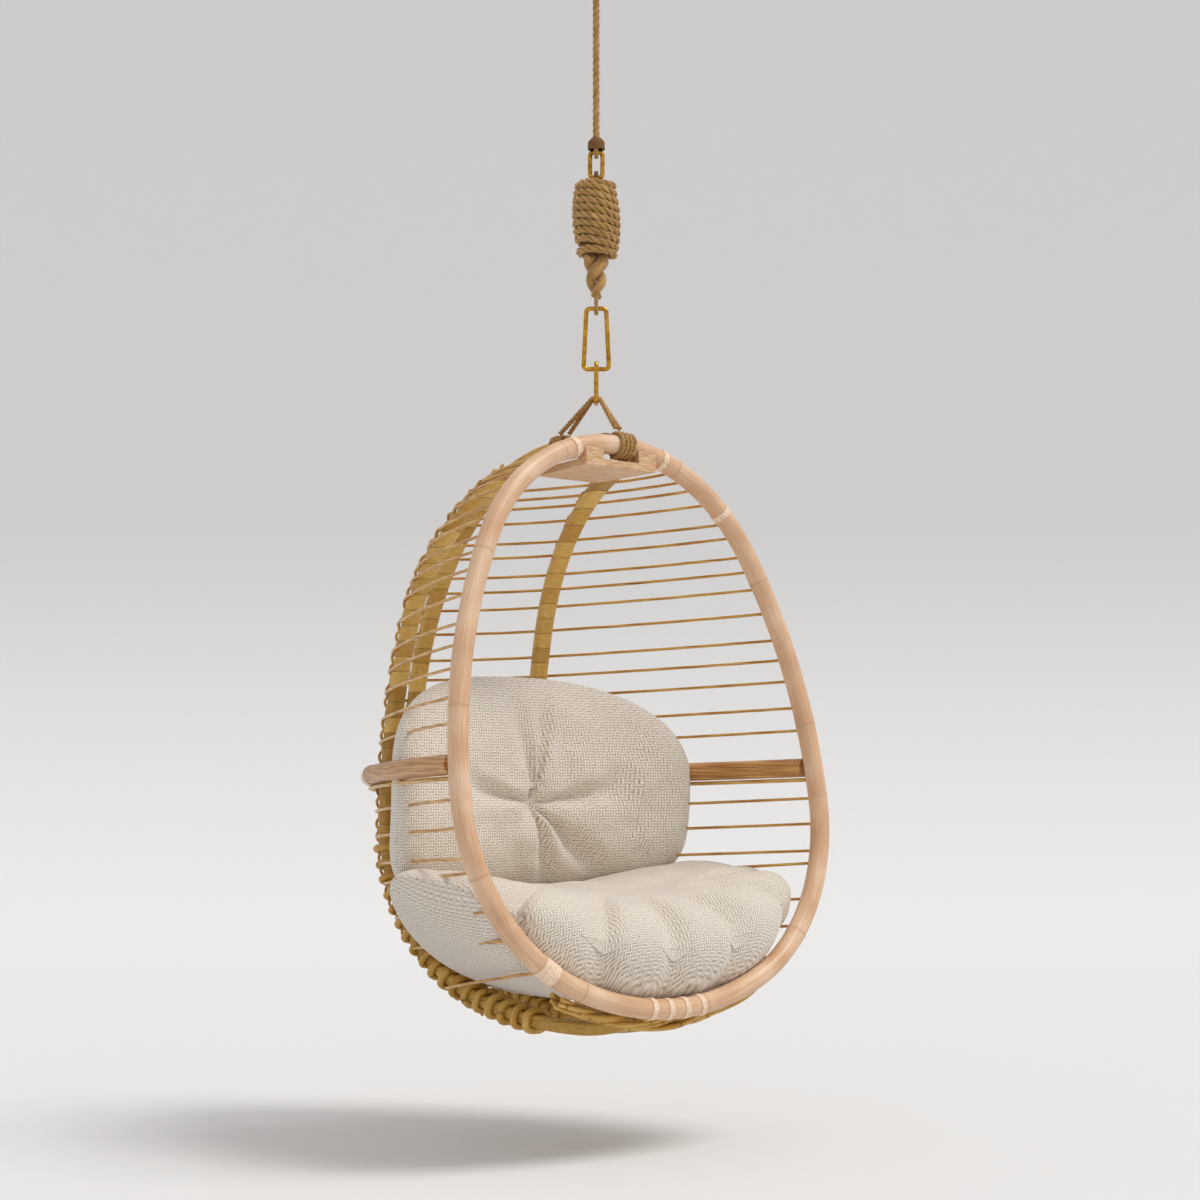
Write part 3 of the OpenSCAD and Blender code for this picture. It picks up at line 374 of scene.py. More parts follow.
block_wood = streaked("oiled_beech", [(0.35, "#B98C62"), (0.5, "#D0A67C"), (0.65, "#E2C09A")],
                      (40, 400, 400))
split_cane = streaked("split_cane_strip",
                      [(0.35, "#D9B48F"), (0.5, "#EBCDAE"), (0.65, "#F6E2CC")],
                      (300, 300, 300), 0.4)
level_cane = streaked("tan_cane_level", [(0.32, "#94601D"), (0.48, "#C08A34"), (0.62, "#DDB264")],
                      (14, 14, 420), 0.33)
level_gold = streaked("golden_cane_level",
                      [(0.3, "#93681C"), (0.47, "#C29238"), (0.62, "#DDB766")],
                      (14, 14, 420), 0.36)
level_honey = streaked("honey_pole_level",
                       [(0.3, "#8F5A2A"), (0.47, "#B27B3F"), (0.64, "#CE9C5E")],
                       (10, 10, 300), 0.38)
# The cord of the eye seizing, the rope collar and the knot's core is a darker copy of the jute.
# This darkness is painted shade, for the shade these wraps sit in under the rope round them.
shaded_cord = streaked("shaded_jute_cord",
                     [(0.35, "#4A3014"), (0.5, "#6E4A20"), (0.65, "#94692F")],
                     (500, 500, 900), 0.8)
print("streaked materials:", [m.name for m in (block_wood, split_cane, level_cane,
                                               level_gold, level_honey, shaded_cord)])

# %% [markdown]
# The ribs are bars bound with a strip of golden cane, 31 mm wide. The strip's edges show as dark
# level lines across the rib, each turn has a shade of its own, and it stands a little proud of
# the turn below.

# %% Bound ribs
STRIP_W = 0.031
rib_binding, tree, shader = start("rib_bound_with_cane", 0.36)
spot = add(tree, "ShaderNodeTexCoord").outputs["Object"]
height = add(tree, "ShaderNodeSeparateXYZ", {"Vector": spot}).outputs["Z"]
turns = add(tree, "ShaderNodeMath", {0: height, 1: STRIP_W}, operation="DIVIDE")
which = add(tree, "ShaderNodeMath", {0: turns.outputs[0]}, operation="FLOOR")
share = add(tree, "ShaderNodeMath", {0: turns.outputs[0]}, operation="FRACT")
shade = add(tree, "ShaderNodeTexWhiteNoise", {"W": which.outputs[0]}, noise_dimensions="1D")
fine = add(tree, "ShaderNodeMapping", {"Vector": spot, "Scale": (60, 60, 700)})
fibres = add(tree, "ShaderNodeTexNoise",
             {"Vector": fine.outputs[0], "Scale": 1.0, "Detail": 3.0})
tone = add(tree, "ShaderNodeMix", {"Factor": 0.4, "A": fibres.outputs["Fac"],
                                   "B": shade.outputs["Value"]}, data_type="FLOAT")
edge = add(tree, "ShaderNodeMapRange", {"Value": share.outputs[0], "From Min": 0.02,
                                        "From Max": 0.08, "To Min": 0.75, "To Max": 0.0})
golds = ramp(tree, tone.outputs[0], [(0.3, "#A87B28"), (0.5, "#C79A42"), (0.7, "#DDB762")])
mixed = add(tree, "ShaderNodeMix", {"Factor": edge.outputs[0], "A": golds,
                                    "B": linear("#7E5716")}, data_type="RGBA")
coat(tree, shader, mixed.outputs["Result"], share.outputs[0], 0.4, 0.0008)
print("the ribs are bound with strips", round(STRIP_W * 1000), "mm wide")

# %% [markdown]
# A solid of the frame that no new piece stands for keeps its mesh and only gets its material.

# %% Finish the frame's own solids
nodes = frame["nodes"]
FINISHES = [
    (block_wood, ["crown_block"]), (level_honey, ["mid_rail"]), (level_gold, ["rail_cane"]),
    (split_cane, ["hoop_bindings", "rail_bindings"]),
    (shaded_cord, ["eye_seizing", "rope_collar", "knot_core"]),
    (zinc_steel, ["ceiling_plate", "swivel_washer", "swivel_nut", "ceiling_hook",
                  "rope_thimble"]),
    (level_cane, [name for name in nodes if name.startswith("cane_")]),
    (rib_binding, [name for name in nodes if name.startswith("rib_")]),
    (satin_brass, [name for name in nodes if name.endswith("_link")])]
for finish, names in FINISHES:
    for name in names:
        for slot in nodes[name].material_slots:
            slot.material = finish
print("solids that keep their mesh:", sum(len(names) for _, names in FINISHES))

# %% [markdown]
# ### Cushion cloth
# The covers are a coarse basket weave in an oatmeal yarn, soft and without a shine. Threads of
# about 2.5 mm are drawn at 5.5 mm, because finer ones would only blur. Two sets of bands cross,
# and a checker of two threads decides which set is on top. A wave texture repeats every 0.314
# divided by its scale, which is a tenth of pi.

# %% Basket weave
THREAD, BAND = 0.0055, 0.314
oatmeal, tree, shader = start("oatmeal_basket_weave", 0.9, Sheen_Weight=0.3, Sheen_Roughness=0.5)
cloth = add(tree, "ShaderNodeAttribute", attribute_name="grain").outputs["Vector"]
bands = [add(tree, "ShaderNodeTexWave",
             {"Vector": cloth, "Scale": BAND / THREAD, "Distortion": 0.6, "Detail": 1.0},
             bands_direction=axis).outputs["Fac"] for axis in ("X", "Y")]
check = add(tree, "ShaderNodeTexChecker", {"Vector": cloth, "Scale": 1 / (2 * THREAD)})
on_top = add(tree, "ShaderNodeMix", {"Factor": check.outputs["Fac"], "A": bands[0],
                                     "B": bands[1]}, data_type="FLOAT")
slub = add(tree, "ShaderNodeTexNoise",
           {"Vector": cloth, "Scale": 170.0, "Detail": 4.0, "Roughness": 0.7})
tone = add(tree, "ShaderNodeMix", {"Factor": 0.55, "A": on_top.outputs[0],
                                   "B": slub.outputs["Fac"]}, data_type="FLOAT")
yarns = ramp(tree, tone.outputs[0], [(0.22, "#9C8A74"), (0.42, "#D2C6B5"), (0.70, "#ECE4D9")])
coat(tree, shader, yarns, tone.outputs[0], 0.55, 0.0012)
print("cushion cloth:", oatmeal.name, "with threads drawn at", THREAD * 1000, "mm")

# %% [markdown]
# ## The front hoop
# The hoop is one thick pole. Rattan swells a little at each joint, so the tube's radius grows
# there, and the ring of the material falls on the same spot.

# %% Hoop with its joints
KNUCKLE_GROW, KNUCKLE_REACH = 0.035, 0.010

def knuckle(count, along, share):
    away = abs((along / POLE_JOINT) % 1 - 0.5) * POLE_JOINT
    return 1 + KNUCKLE_GROW * math.exp(-(away / KNUCKLE_REACH) ** 2)

hoop = tubes("hoop_pole", [hoop_path], POLE_R / 1000, sides=28, closed=True, swell=knuckle)
fit(hoop, "basket", "hoop_pole", peeled_pole, "front_hoop")

# %% [markdown]
# ## Cane round the ribs
# Each rib follows two quarters of an egg in its own upright plane, and the side ribs' planes fan
# out. A rib is given by its fan in degrees, where its upper part starts, its reach, the height
# of its waist and of its top, the bend at its crown, where its foot starts and the bend there.
# From the outline come the outward direction and the direction across the bar, which every wrap
# and cord round the rib needs.

# %% Outline of a rib
SIDE_RIB = (13.2, 352.5, 852, -200, 538.67, 462, 352.5, 700)
CENTRE_RIB = (0, 472.19, 996, -50, 568.67, 482, 340, 900)
RIB_LOW, RIB_FAN, RIB_T, RIB_W = -599.67, 260, 25, 36

def rib_outline(rib, side, step=8):
    fan, near, reach, waist, top, crown, foot, base = rib
    up = [(near + x, waist + z) for x, z in quarter(reach - near, top - waist, crown, step)]
    down = [(foot + x, waist - z) for x, z in quarter(reach - foot, waist - RIB_LOW, base, step)]
    plane = up[::-1] + down[1:]
    way = Vector((side * math.sin(math.radians(fan)), math.cos(math.radians(fan)), 0))
    across = Vector((way.y, -way.x, 0))
    found = []
    for i, (x, z) in enumerate(plane):
        a, b = plane[max(i - 1, 0)], plane[min(i + 1, len(plane) - 1)]
        run = Vector((b[0] - a[0], b[1] - a[1])).normalized()
        out = way * -run.y + Vector((0, 0, run.x))
        found.append((way * x + Vector((0, -RIB_FAN, z)), out, across, z))
    return found

RIBS = {"left": (SIDE_RIB, -1), "right": (SIDE_RIB, 1), "centre": (CENTRE_RIB, 1)}
print("points on each rib:", [len(rib_outline(*rib)) for rib in RIBS.values()])

# %% [markdown]
# Low down, each rib is wrapped in turns of thick cane. Each turn is a closed loop round the flat
# bar, a little tilted and of uneven thickness, as a turn pulled tight by hand is. Raising the
# sine and cosine to a power below one squares the loop up, so that it lies close to the bar's
# corners.

# %% Turns of cane round the lower ribs
TURN_POINTS, SQUARENESS, WRAP_GAP, WRAP_TILT, WRAP_LOW = 20, 0.7, 0.4, 5, -592

def squared(value):
    return math.copysign(abs(value) ** SQUARENESS, value)

def turn_round(spot, out, across, gap, tilt):
    along = out.cross(across)
    middle = spot - out * (RIB_T / 2)
    loop = []
    for k in range(TURN_POINTS):
        a = 2 * math.pi * k / TURN_POINTS
        c, s = squared(math.cos(a)), squared(math.sin(a))
        loop.append(place(*(middle + out * c * (RIB_T / 2 + gap)
                            + across * s * (RIB_W / 2 + gap) + along * tilt * s)))
    return loop

def uneven(count, along, share):
    return 1 + 0.25 * noise.noise(Vector((count * 1.7, share * 2, 0)))

def wraps(side, high, spacing, thick):
    loops, last = [], None
    for spot, out, across, z in rib_outline(*RIBS[side]):
        if WRAP_LOW < z < high and (last is None or (spot - last).length >= spacing):
            tilt = WRAP_TILT * (1 + noise.noise(spot / 17))
            loops.append(turn_round(spot, out, across, thick / 2 + WRAP_GAP, tilt))
            last = spot
    piece = tubes("wraps_" + side, loops, thick / 2000, sides=10, closed=True, swell=uneven)
    return fit(piece, "basket", "rib_pole", gold_cane)

wraps("left", high=-250, spacing=25, thick=14)
wraps("right", high=-250, spacing=25, thick=14)
wraps("centre", high=-300, spacing=24, thick=10)

# %% [markdown]
# A pair of thin canes runs down the outer edge of each rib and ties every level cane to it. One
# stays close to the rib, the other bows out between two canes, so the pair makes a chain of eyes.

# %% Chains of cane down the ribs
EYE_LONG, CHAIN_WIDE, CHAIN_OFF, CHAIN_R, CHAIN_LOW = 34, 7, 4, 0.0031, -560

def chain(side, high, eye):
    inner, outer, run, last = [], [], 0, None
    for spot, out, across, z in rib_outline(*RIBS[side], step=4):
        run += (spot - last).length if last else 0
        last = spot
        if CHAIN_LOW < z < high:
            wave = abs(math.sin(math.pi * run / EYE_LONG))
            sway = across * CHAIN_WIDE * math.cos(math.pi * run / EYE_LONG)
            inner.append(place(*(spot + out * (CHAIN_OFF + 1.5 * wave) + sway)))
            outer.append(place(*(spot + out * (CHAIN_OFF + eye * wave) - sway)))
    piece = tubes("chain_" + side, [inner, outer], CHAIN_R, sides=8)
    return fit(piece, "basket", "cane", tan_cane)

chain("left", high=500, eye=12)
chain("centre", high=520, eye=9)
chain("right", high=500, eye=12)

# %% [markdown]
# Under the foot of the hoop, where the ribs end, loose canes run along it and cross each other.
# Each one follows a sine in height and a cosine in depth, with its own wave length. Two waves
# side by side read as canes that pass over and under each other.

# %% Crossing canes under the hoop
BRAID_CANES, BRAID_REACH, BRAID_STEP, BRAID_R = 6, 253, 11, 0.0048
BRAID_DROP, BRAID_BACK, WAVE_UP, WAVE_BACK = 27, 0.040, 9, 0.017

def bumpy(count, along, share):
    return 1 + 0.15 * math.sin(along * 60 + count)

braid = []
for j in range(BRAID_CANES):
    line = []
    for x in range(-BRAID_REACH, BRAID_REACH + 1, BRAID_STEP):
        foot = BASE_R - HOOP_H / 2 - math.sqrt(BASE_R ** 2 - x ** 2)
        a = x / (46 + 4 * j) + 1.05 * j
        spot = in_hoop(x, foot - BRAID_DROP - WAVE_UP * math.sin(a) - 2 * (j % 3))
        back = BRAID_BACK + WAVE_BACK * math.cos(a) + 0.006 * (j % 2)
        line.append(spot + Vector((0, back, 0)))
    braid.append(line)
fit(tubes("foot_braid", braid, BRAID_R, sides=8, swell=bumpy), "basket", "cane", gold_cane)

# %% [markdown]
# ## Rope
# A laid rope is three strands that wind round each other, and a looser twist is two. How far a
# strand's middle lies from the rope's, and how thick the strand is, are shares of the rope's
# diameter. To find "round" along a bent path, a sideways direction is carried from point to
# point and squared up at each step.

# %% Lay a rope
STRAND_OFF, STRAND_R, LAY_STEPS = {3: 0.268, 2: 0.25}, {3: 0.232, 2: 0.25}, 12

def even(path, step):
    found, left = [path[0]], step
    for a, b in zip(path, path[1:]):
        gap = (b - a).length
        while gap > 0 and left <= gap:
            a = a + (b - a) * (left / gap)
            found.append(a)
            gap, left = (b - a).length, step
        left -= gap
    return found

def strands_of(path, diameter, strands, size):
    first = (path[1] - path[0]).normalized()
    side = Vector((1, 0, 0)) if abs(first.x) < 0.8 else Vector((0, 0, 1))
    lines = [[] for _ in range(strands)]
    for i, p in enumerate(path):
        way = (path[min(i + 1, len(path) - 1)] - path[max(i - 1, 0)]).normalized()
        side = (side - way * side.dot(way)).normalized()
        up = way.cross(side)
        reach = diameter * STRAND_OFF[strands] * (size(i / len(path)) if size else 1)
        for k, line in enumerate(lines):
            a = 2 * math.pi * (i / LAY_STEPS + k / strands)
            line.append(p + (side * math.cos(a) + up * math.sin(a)) * reach)
    return lines

def laid(name, paths, diameter, pitch, strands=3, size=None):
    every = []
    for path in paths:
        every += strands_of(even(path, pitch / LAY_STEPS), diameter, strands, size)
    grow = (lambda count, along, share: size(share)) if size else None
    return tubes(name, every, diameter * STRAND_R[strands], sides=8, swell=grow)

print("strands lie", STRAND_OFF, "of the rope's diameter off its middle")

# %% [markdown]
# The hanging rope has an eye round a steel thimble on the hook, runs straight down, and ends in a
# loop of one strand round the upper bar of the top link.

# %% Hanging rope
TOP_BAR, LONG_TOP, ROPE_D, STRAND_D, LOOP_R = 1140.77, 823.27, 15, 9, 9.4
ROPE_PITCH, STRAND_PITCH = 0.042, 0.026
COLLAR = TOP_BAR + 5.5
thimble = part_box("rope_thimble")
thimble_z = (thimble[0][2] + thimble[1][2]) / 2 * 1000 + DROP
eye_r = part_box("top_rope")[1][2] * 1000 + DROP - thimble_z - ROPE_D / 2

straight = [on_rope(0, 0, thimble_z - eye_r), on_rope(0, 0, COLLAR + 4)]
hanging_rope = laid("hanging_rope", [straight], ROPE_D / 1000, ROPE_PITCH)
fit(hanging_rope, "hook", "rope", jute, "top_rope")
eye = [on_rope(eye_r * math.sin(a), 0, thimble_z - eye_r * math.cos(a))
       for a in [2 * math.pi * k / 48 for k in range(49)]]
fit(laid("rope_eye", [eye], ROPE_D / 1000, ROPE_PITCH), "hook", "rope", jute, "top_rope")

def loop_over(bar, legs):
    turn = [on_rope(0, LOOP_R * math.cos(a), bar + LOOP_R * math.sin(a))
            for a in [math.pi + math.pi * k / 12 for k in range(13)]]
    return [on_rope(0, -LOOP_R, bar + legs)] + turn + [on_rope(0, LOOP_R, bar + legs)]

top_loop = laid("top_loop", [loop_over(TOP_BAR, COLLAR + 14 - TOP_BAR)], STRAND_D / 1000,
                STRAND_PITCH)
fit(top_loop, "hook", "rope", jute, "top_rope")

# %% [markdown]
# The knot is a thicker rope wound eight times round a core. Its turns lean by SLOPE, so that they
# fall towards one side, and the winding is widest in the middle. A turn of rope closes each end.

# %% Wound knot
KNOT_LOW, KNOT_LEN, KNOT_R, KNOT_END_R, KNOT_D, SLOPE = 930.77, 148, 49, 42, 14, math.radians(18)
KNOT_TURNS, TURN_STEPS, KNOT_ROPE_D, KNOT_PITCH = 8, 24, 0.0165, 0.05
steps = KNOT_TURNS * TURN_STEPS
rise = KNOT_LEN - KNOT_D - (KNOT_END_R - KNOT_D / 2) * math.tan(SLOPE)
winding = []
for i in range(steps + 1):
    t, a = 2 * i / steps - 1, math.radians(360 / TURN_STEPS * i)
    r = KNOT_END_R + (KNOT_R - KNOT_END_R) * (1 - t * t) - KNOT_D / 2
    x = r * math.cos(a)
    z = KNOT_LOW + (KNOT_LEN - rise) / 2 + rise * i / steps - x * math.tan(SLOPE)
    winding.append(on_rope(x, r * math.sin(a), z))

CAP_R = KNOT_END_R - 9
caps = [[on_rope(CAP_R * math.cos(a), CAP_R * math.sin(a), z + 2 * math.sin(2 * a))
         for a in [2 * math.pi * k / 36 for k in range(38)]]
        for z in (KNOT_LOW + KNOT_D / 2, KNOT_LOW + KNOT_LEN - KNOT_D / 2)]
fit(laid("knot_winding", [winding] + caps, KNOT_ROPE_D, KNOT_PITCH), "rope", "rope", jute,
    "rope_knot")

# %% [markdown]
# Under the knot two ends of the rope twist round each other and thin out to the loop that holds
# the long link.

# %% Twisted neck
NECK_LOW, NECK_LEN, NECK_D, NECK_PITCH = 838.77, 92, 0.052, 0.085

def thinner(share):
    return 1 - 0.55 * max(0, share - 0.25) ** 1.2 / (1 - 0.25)

neck_line = [on_rope(0, 0, NECK_LOW + NECK_LEN * (1 - k / 30)) for k in range(31)]
neck = laid("twisted_neck", [neck_line], NECK_D, NECK_PITCH, strands=2, size=thinner)
fit(neck, "rope", "rope", jute, "knot_neck")
neck_loop = laid("neck_loop", [loop_over(LONG_TOP, NECK_LOW - LONG_TOP + 10)], STRAND_D / 1000,
                 STRAND_PITCH)
fit(neck_loop, "rope", "rope", jute, "knot_neck")

# %% [markdown]
# Two cords pass over the small link's lower bar, side by side. They run down to the crown of the
# hoop in front and to the ridge of the middle rib behind, where turns of cord hold them. Each is
# two straight runs with an arc of BEND_R between them, whose top lies just over the bar.

# %% Cords of the bail
SMALL_LOW, RIDGE = CROWN_Z + 90, CROWN_Z + 25
BAIL_D, LASH_D, BEND_R, LINK_WIRE_R, LINK_PLAY, BAIL_LIFT = 8, 9, 20, 4.5, 0.4, 2.4
BAIL_APART, LASH_REST = 0.7, 0.9

def bent(rear, front, side):
    step = (BAIL_D + BAIL_APART) / (2 * math.sin(LINK_YAW))
    bar = Vector((side * step * math.sin(LINK_YAW), HANG_Y + side * step * math.cos(LINK_YAW),
                  SMALL_LOW))
    lift = LINK_WIRE_R + LINK_PLAY + BAIL_LIFT + BAIL_D / 2
    above = Vector((0, 0, lift))
    u, v = (rear - bar - above).normalized(), (front - bar - above).normalized()
    half = u.angle(v) / 2
    corner = bar - (u + v).normalized() * (BEND_R / math.sin(half) - BEND_R + lift)
    u, v = (rear - corner).normalized(), (front - corner).normalized()
    half = u.angle(v) / 2
    middle = corner + (u + v).normalized() * BEND_R / math.sin(half)
    ex = (corner + u * BEND_R / math.tan(half) - middle).normalized()
    bend = [middle + BEND_R * (math.cos(a) * ex - math.sin(a) * u)
            for a in [(math.pi - 2 * half) * k / 10 for k in range(11)]]
    return [place(*p) for p in [rear] + bend + [front]]

front_top = CROWN_Z + POLE_R + BAIL_D / 4 + LASH_REST + LASH_D
rear_top = RIDGE + LASH_REST + 0.83 * BAIL_D / 2 + LASH_D
BAIL_SHOWN_D = 0.0102
BAILS = {"left": (-1, (-8, HANG_Y + 100), (3, CROWN_Y - 3)),
         "right": (1, (6, HANG_Y + 88), (14, CROWN_Y - 3))}
for name, (side, rear, front) in BAILS.items():
    path = bent(Vector((*rear, rear_top)), Vector((*front, front_top)), side)
    fit(laid("bail_" + name, [path], BAIL_SHOWN_D, STRAND_PITCH), "basket", "rope", jute,
        "bail_cord_" + name)

# %% [markdown]
# The front lashing winds four times round the hoop's crown and the rear one three times round the
# ridge of the middle rib. The first follows the bend of the crown; the second is a coil round a
# bar with rounded corners.

# %% Lashings
LASH_PITCH, LASH_GAP, LASHING_D, CORNER_R = 10.5, 0.6, 0.0095, 8
FRONT_START, REAR_START, REAR_Y = 150, -82.5, CROWN_Y + 135
around = POLE_R + LASH_GAP + LASH_D / 2
front_turns = []
for i in range(TURN_STEPS * 4 + 1):
    b = LASH_PITCH * i / TURN_STEPS / CROWN_R
    a = math.radians(360 / TURN_STEPS * i + FRONT_START)
    x = math.sin(b) * (CROWN_R + around * math.cos(a))
    up = HOOP_H / 2 - CROWN_R + math.cos(b) * (CROWN_R + around * math.cos(a))
    back = around * math.sin(a)
    front_turns.append(place(x, back * math.cos(LEAN) + up * math.sin(LEAN),
                             up * math.cos(LEAN) - back * math.sin(LEAN)))
fit(laid("lashing_front", [front_turns], LASHING_D, STRAND_PITCH), "basket", "rope", jute,
    "front_lashing")

edge = LASH_GAP + LASH_D / 2
rear_turns = []
for i in range(TURN_STEPS * 3 + 1):
    a = math.radians(360 / TURN_STEPS * i + REAR_START)
    c, s = math.cos(a), math.sin(a)
    x = math.copysign(RIB_W / 2 - CORNER_R, c) + (edge + CORNER_R) * c
    z = RIDGE - RIB_T / 2 + math.copysign(RIB_T / 2 - CORNER_R, s) + (edge + CORNER_R) * s
    rear_turns.append(place(x, REAR_Y + LASH_PITCH * i / TURN_STEPS, z))
fit(laid("lashing_rear", [rear_turns], LASHING_D, STRAND_PITCH), "basket", "rope", jute,
    "rear_lashing")

# %% [markdown]
# ## Cushions
# A cushion starts as a ball. Each point keeps its direction and is moved to the place that the
# cushion's outline, crown and seams give it. The basket's inner wall, an oval at each height, then
# holds every point back, so that the filling follows the canes as it does on the real chair. The
# oval stays WALL clear of the canes and SIDE_CLEAR more at the sides, and powers above two make
# it squarer than an ellipse. Where a cushion bulges out more than SWELL_FROM in front of the
# hoop, it may swell sideways over the pole.

# %% The space inside the basket
WALL, SIDE_CLEAR, SWELL_FROM, SWELL_BY = 6, 8, 22, 0.9
WIDE_POWER, DEEP_POWER, PULL_POWER, FAR_OUT = 2.8, 2.5, 2.6, 9

def hoop_half(z):
    along = z / math.cos(LEAN) - WAIST_Z
    if along >= 0:
        return quarter_x(HOOP_W / 2, HOOP_H - WAIST_H, CROWN_R, min(along, HOOP_H - WAIST_H))
    return quarter_x(HOOP_W / 2, WAIST_H, BASE_R, min(-along, WAIST_H))

def back_wall(z):
    fan, near, reach, waist, top, crown, foot, base = CENTRE_RIB
    if z >= waist:
        x = near + quarter_x(reach - near, top - waist, crown, min(z - waist, top - waist))
    else:
        x = foot + quarter_x(reach - foot, waist - RIB_LOW, base, min(waist - z, waist - RIB_LOW))
    return x - RIB_FAN

def inside(x, y, z):
    front = z * math.tan(LEAN)
    wide = hoop_half(z) - WALL - SIDE_CLEAR + max(0, front - y - SWELL_FROM) * SWELL_BY
    deep = back_wall(z) - RIB_T - WALL - front
    if wide < 1 or deep < 1:
        return FAR_OUT
    return abs(x / wide) ** WIDE_POWER + (max(y - front, 0) / deep) ** DEEP_POWER

def held_in(p):
    front = p.z * math.tan(LEAN)
    share = inside(p.x, p.y, p.z)
    if share > 1:
        shrink = share ** (-1 / PULL_POWER)
        p = Vector((p.x * shrink, front + (p.y - front) * shrink if p.y > front else p.y, p.z))
    return p

def floor_at(x, y):
    low, high = -595.0, -150.0
    for _ in range(14):
        middle = (low + high) / 2
        if inside(x, y, middle) > 1:
            low = middle
        else:
            high = middle
    return high

print("inside half width at the seat:", round(hoop_half(-400)), "mm")

# %% [markdown]
# A form tells where a point of the ball goes, from its distance to the ball's axis, its angle
# round it, and the half it is on. `outline` squares a circle: a power of two leaves it round.
# The weave's place is kept as the grain attribute, on its own side for each half, so that the
# pattern meets in a seam round the rim. A fold is a groove at one angle that fades out over so
# many degrees.

# %% Ball to cushion
def fold(angle, at, wide):
    return math.exp(-(((angle - at + 180) % 360 - 180) / wide) ** 2)

def outline(angle, square):
    c, s = math.cos(math.radians(angle)), math.sin(math.radians(angle))
    k = (abs(c) ** square + abs(s) ** square) ** (-1 / square)
    return c, s, k

def cushion(name, form, cloth, node):
    bm = bmesh.new()
    bmesh.ops.create_uvsphere(bm, u_segments=224, v_segments=120, radius=1)
    mesh = bpy.data.meshes.new(name)
    flat = []
    for vert in bm.verts:
        r = min(1, math.hypot(vert.co.x, vert.co.y))
        front = vert.co.z >= -1e-6
        spot = form(r, math.degrees(math.atan2(vert.co.y, vert.co.x)), front)
        flat += [c / 1000 for c in cloth(spot, 1 if front else -1)]
        vert.co = place(*spot)
    bmesh.ops.smooth_vert(bm, verts=bm.verts, factor=0.4,
                          use_axis_x=True, use_axis_y=True, use_axis_z=True)
    bm.to_mesh(mesh)
    bm.free()
    mesh.attributes.new("grain", "FLOAT_VECTOR", "POINT").data.foreach_set("vector", flat)
    piece = finished(name, mesh, close=False)
    fit(piece, "basket", "cushion", oatmeal, node)
    return piece

print("a fold 8 degrees wide is down to", round(fold(8, 0, 8), 2), "at 8 degrees")

# %% [markdown]
# The back cushion is a big soft pillow with one tuft in its lower middle. Six folds run from the
# tuft to the rim, each at its own angle and with its own width. Its outline is round at the top
# and squarer at the foot, its face is hollow from side to side, and small uneven dents keep it
# from looking turned on a lathe.

# %% Back cushion
box = [[c * 1000 for c in corner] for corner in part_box("back_cushion")]
BACK_W, BACK_H = 760, box[1][2] - box[0][2]
BACK_MID = (box[0][2] + box[1][2]) / 2 + DROP
BACK_Y, BACK_HOLLOW, BACK_CURL, BACK_REAR, BACK_FACE = 372, 100, 30, 120, 74
FOLDS = [(100, 9), (78, 6), (8, 8), (-38, 7), (-70, 8), (170, 8)]
FOLD_DEEP, FOLD_LONG, TUFT_DEEP, TUFT_WIDE, TUFT = 24, 260, 34, 34, (-10, -38)
ROUND_TOP, SQUARE_FOOT = 2.5, 5

def back_form(r, angle, front):
    s = math.sin(math.radians(angle))
    foot = min(1, max(0, -2 * s))
    c, s, k = outline(angle, ROUND_TOP + (SQUARE_FOOT - ROUND_TOP) * foot)
    x, z = r * k * c * BACK_W / 2, r * k * s * BACK_H / 2
    base = BACK_Y - BACK_HOLLOW * (2 * x / BACK_W) ** 2 + BACK_CURL * (2 * z / BACK_H) ** 2
    if not front:
        y = base + BACK_REAR * math.sqrt(max(0, 1 - r ** 2.2))
        return held_in(Vector((x, y, BACK_MID + z)))
    u, v = x - TUFT[0], z - TUFT[1]
    far = math.hypot(u, v)
    crease = max(fold(math.degrees(math.atan2(v, u)), at, wide) for at, wide in FOLDS)
    depth = FOLD_DEEP * crease * math.sin(math.pi * min(1, far / FOLD_LONG) ** 0.75) \
        + TUFT_DEEP * math.exp(-(far / TUFT_WIDE) ** 2)
    dents = 9 * noise.noise(Vector((x, z, 3)) / 90) + 3 * noise.noise(Vector((x, z, 9)) / 32)
    rim = math.sqrt(max(0, 1 - r ** 4.5))
    y = base - BACK_FACE * rim + depth * min(1, 6 * (1 - r)) + dents * rim
    return held_in(Vector((x, y, BACK_MID + z)))

def back_cloth(p, side):
    return p[0] + 0.9 * side * (p[1] - 330) * math.tanh(p[0] / 250), p[2], 0

cushion("back_pillow", back_form, back_cloth, "back_cushion")

# %% [markdown]
# The seat cushion fills the bottom of the basket from wall to wall and bulges over the hoop's foot
# in front. Sewn channels fan out over its front edge, deeper where the cloth turns down, and pull
# the edge in. The rim rises at the sides, and the underside rests on the basket's floor. A
# channel is an angle in degrees, where -90 points straight to the front.

# %% Seat cushion
SEAT_HALF_W, SEAT_HALF_D, SEAT_Y, SEAT_Z = 424, 252, 136, -425
SEAT_SQUARE, SEAT_PUFF, SEAT_DROP = 3, 92, 165
SIDE_RISE, RISE_AT, REAR_RISE, FRONT_TUCK = 95, 412, 30, 45
CHANNELS = [-142, -116, -92, -68, -44, -20]
CHANNEL_WIDE, CHANNEL_DEEP, CHANNEL_PULL = 4.2, 34, 0.07

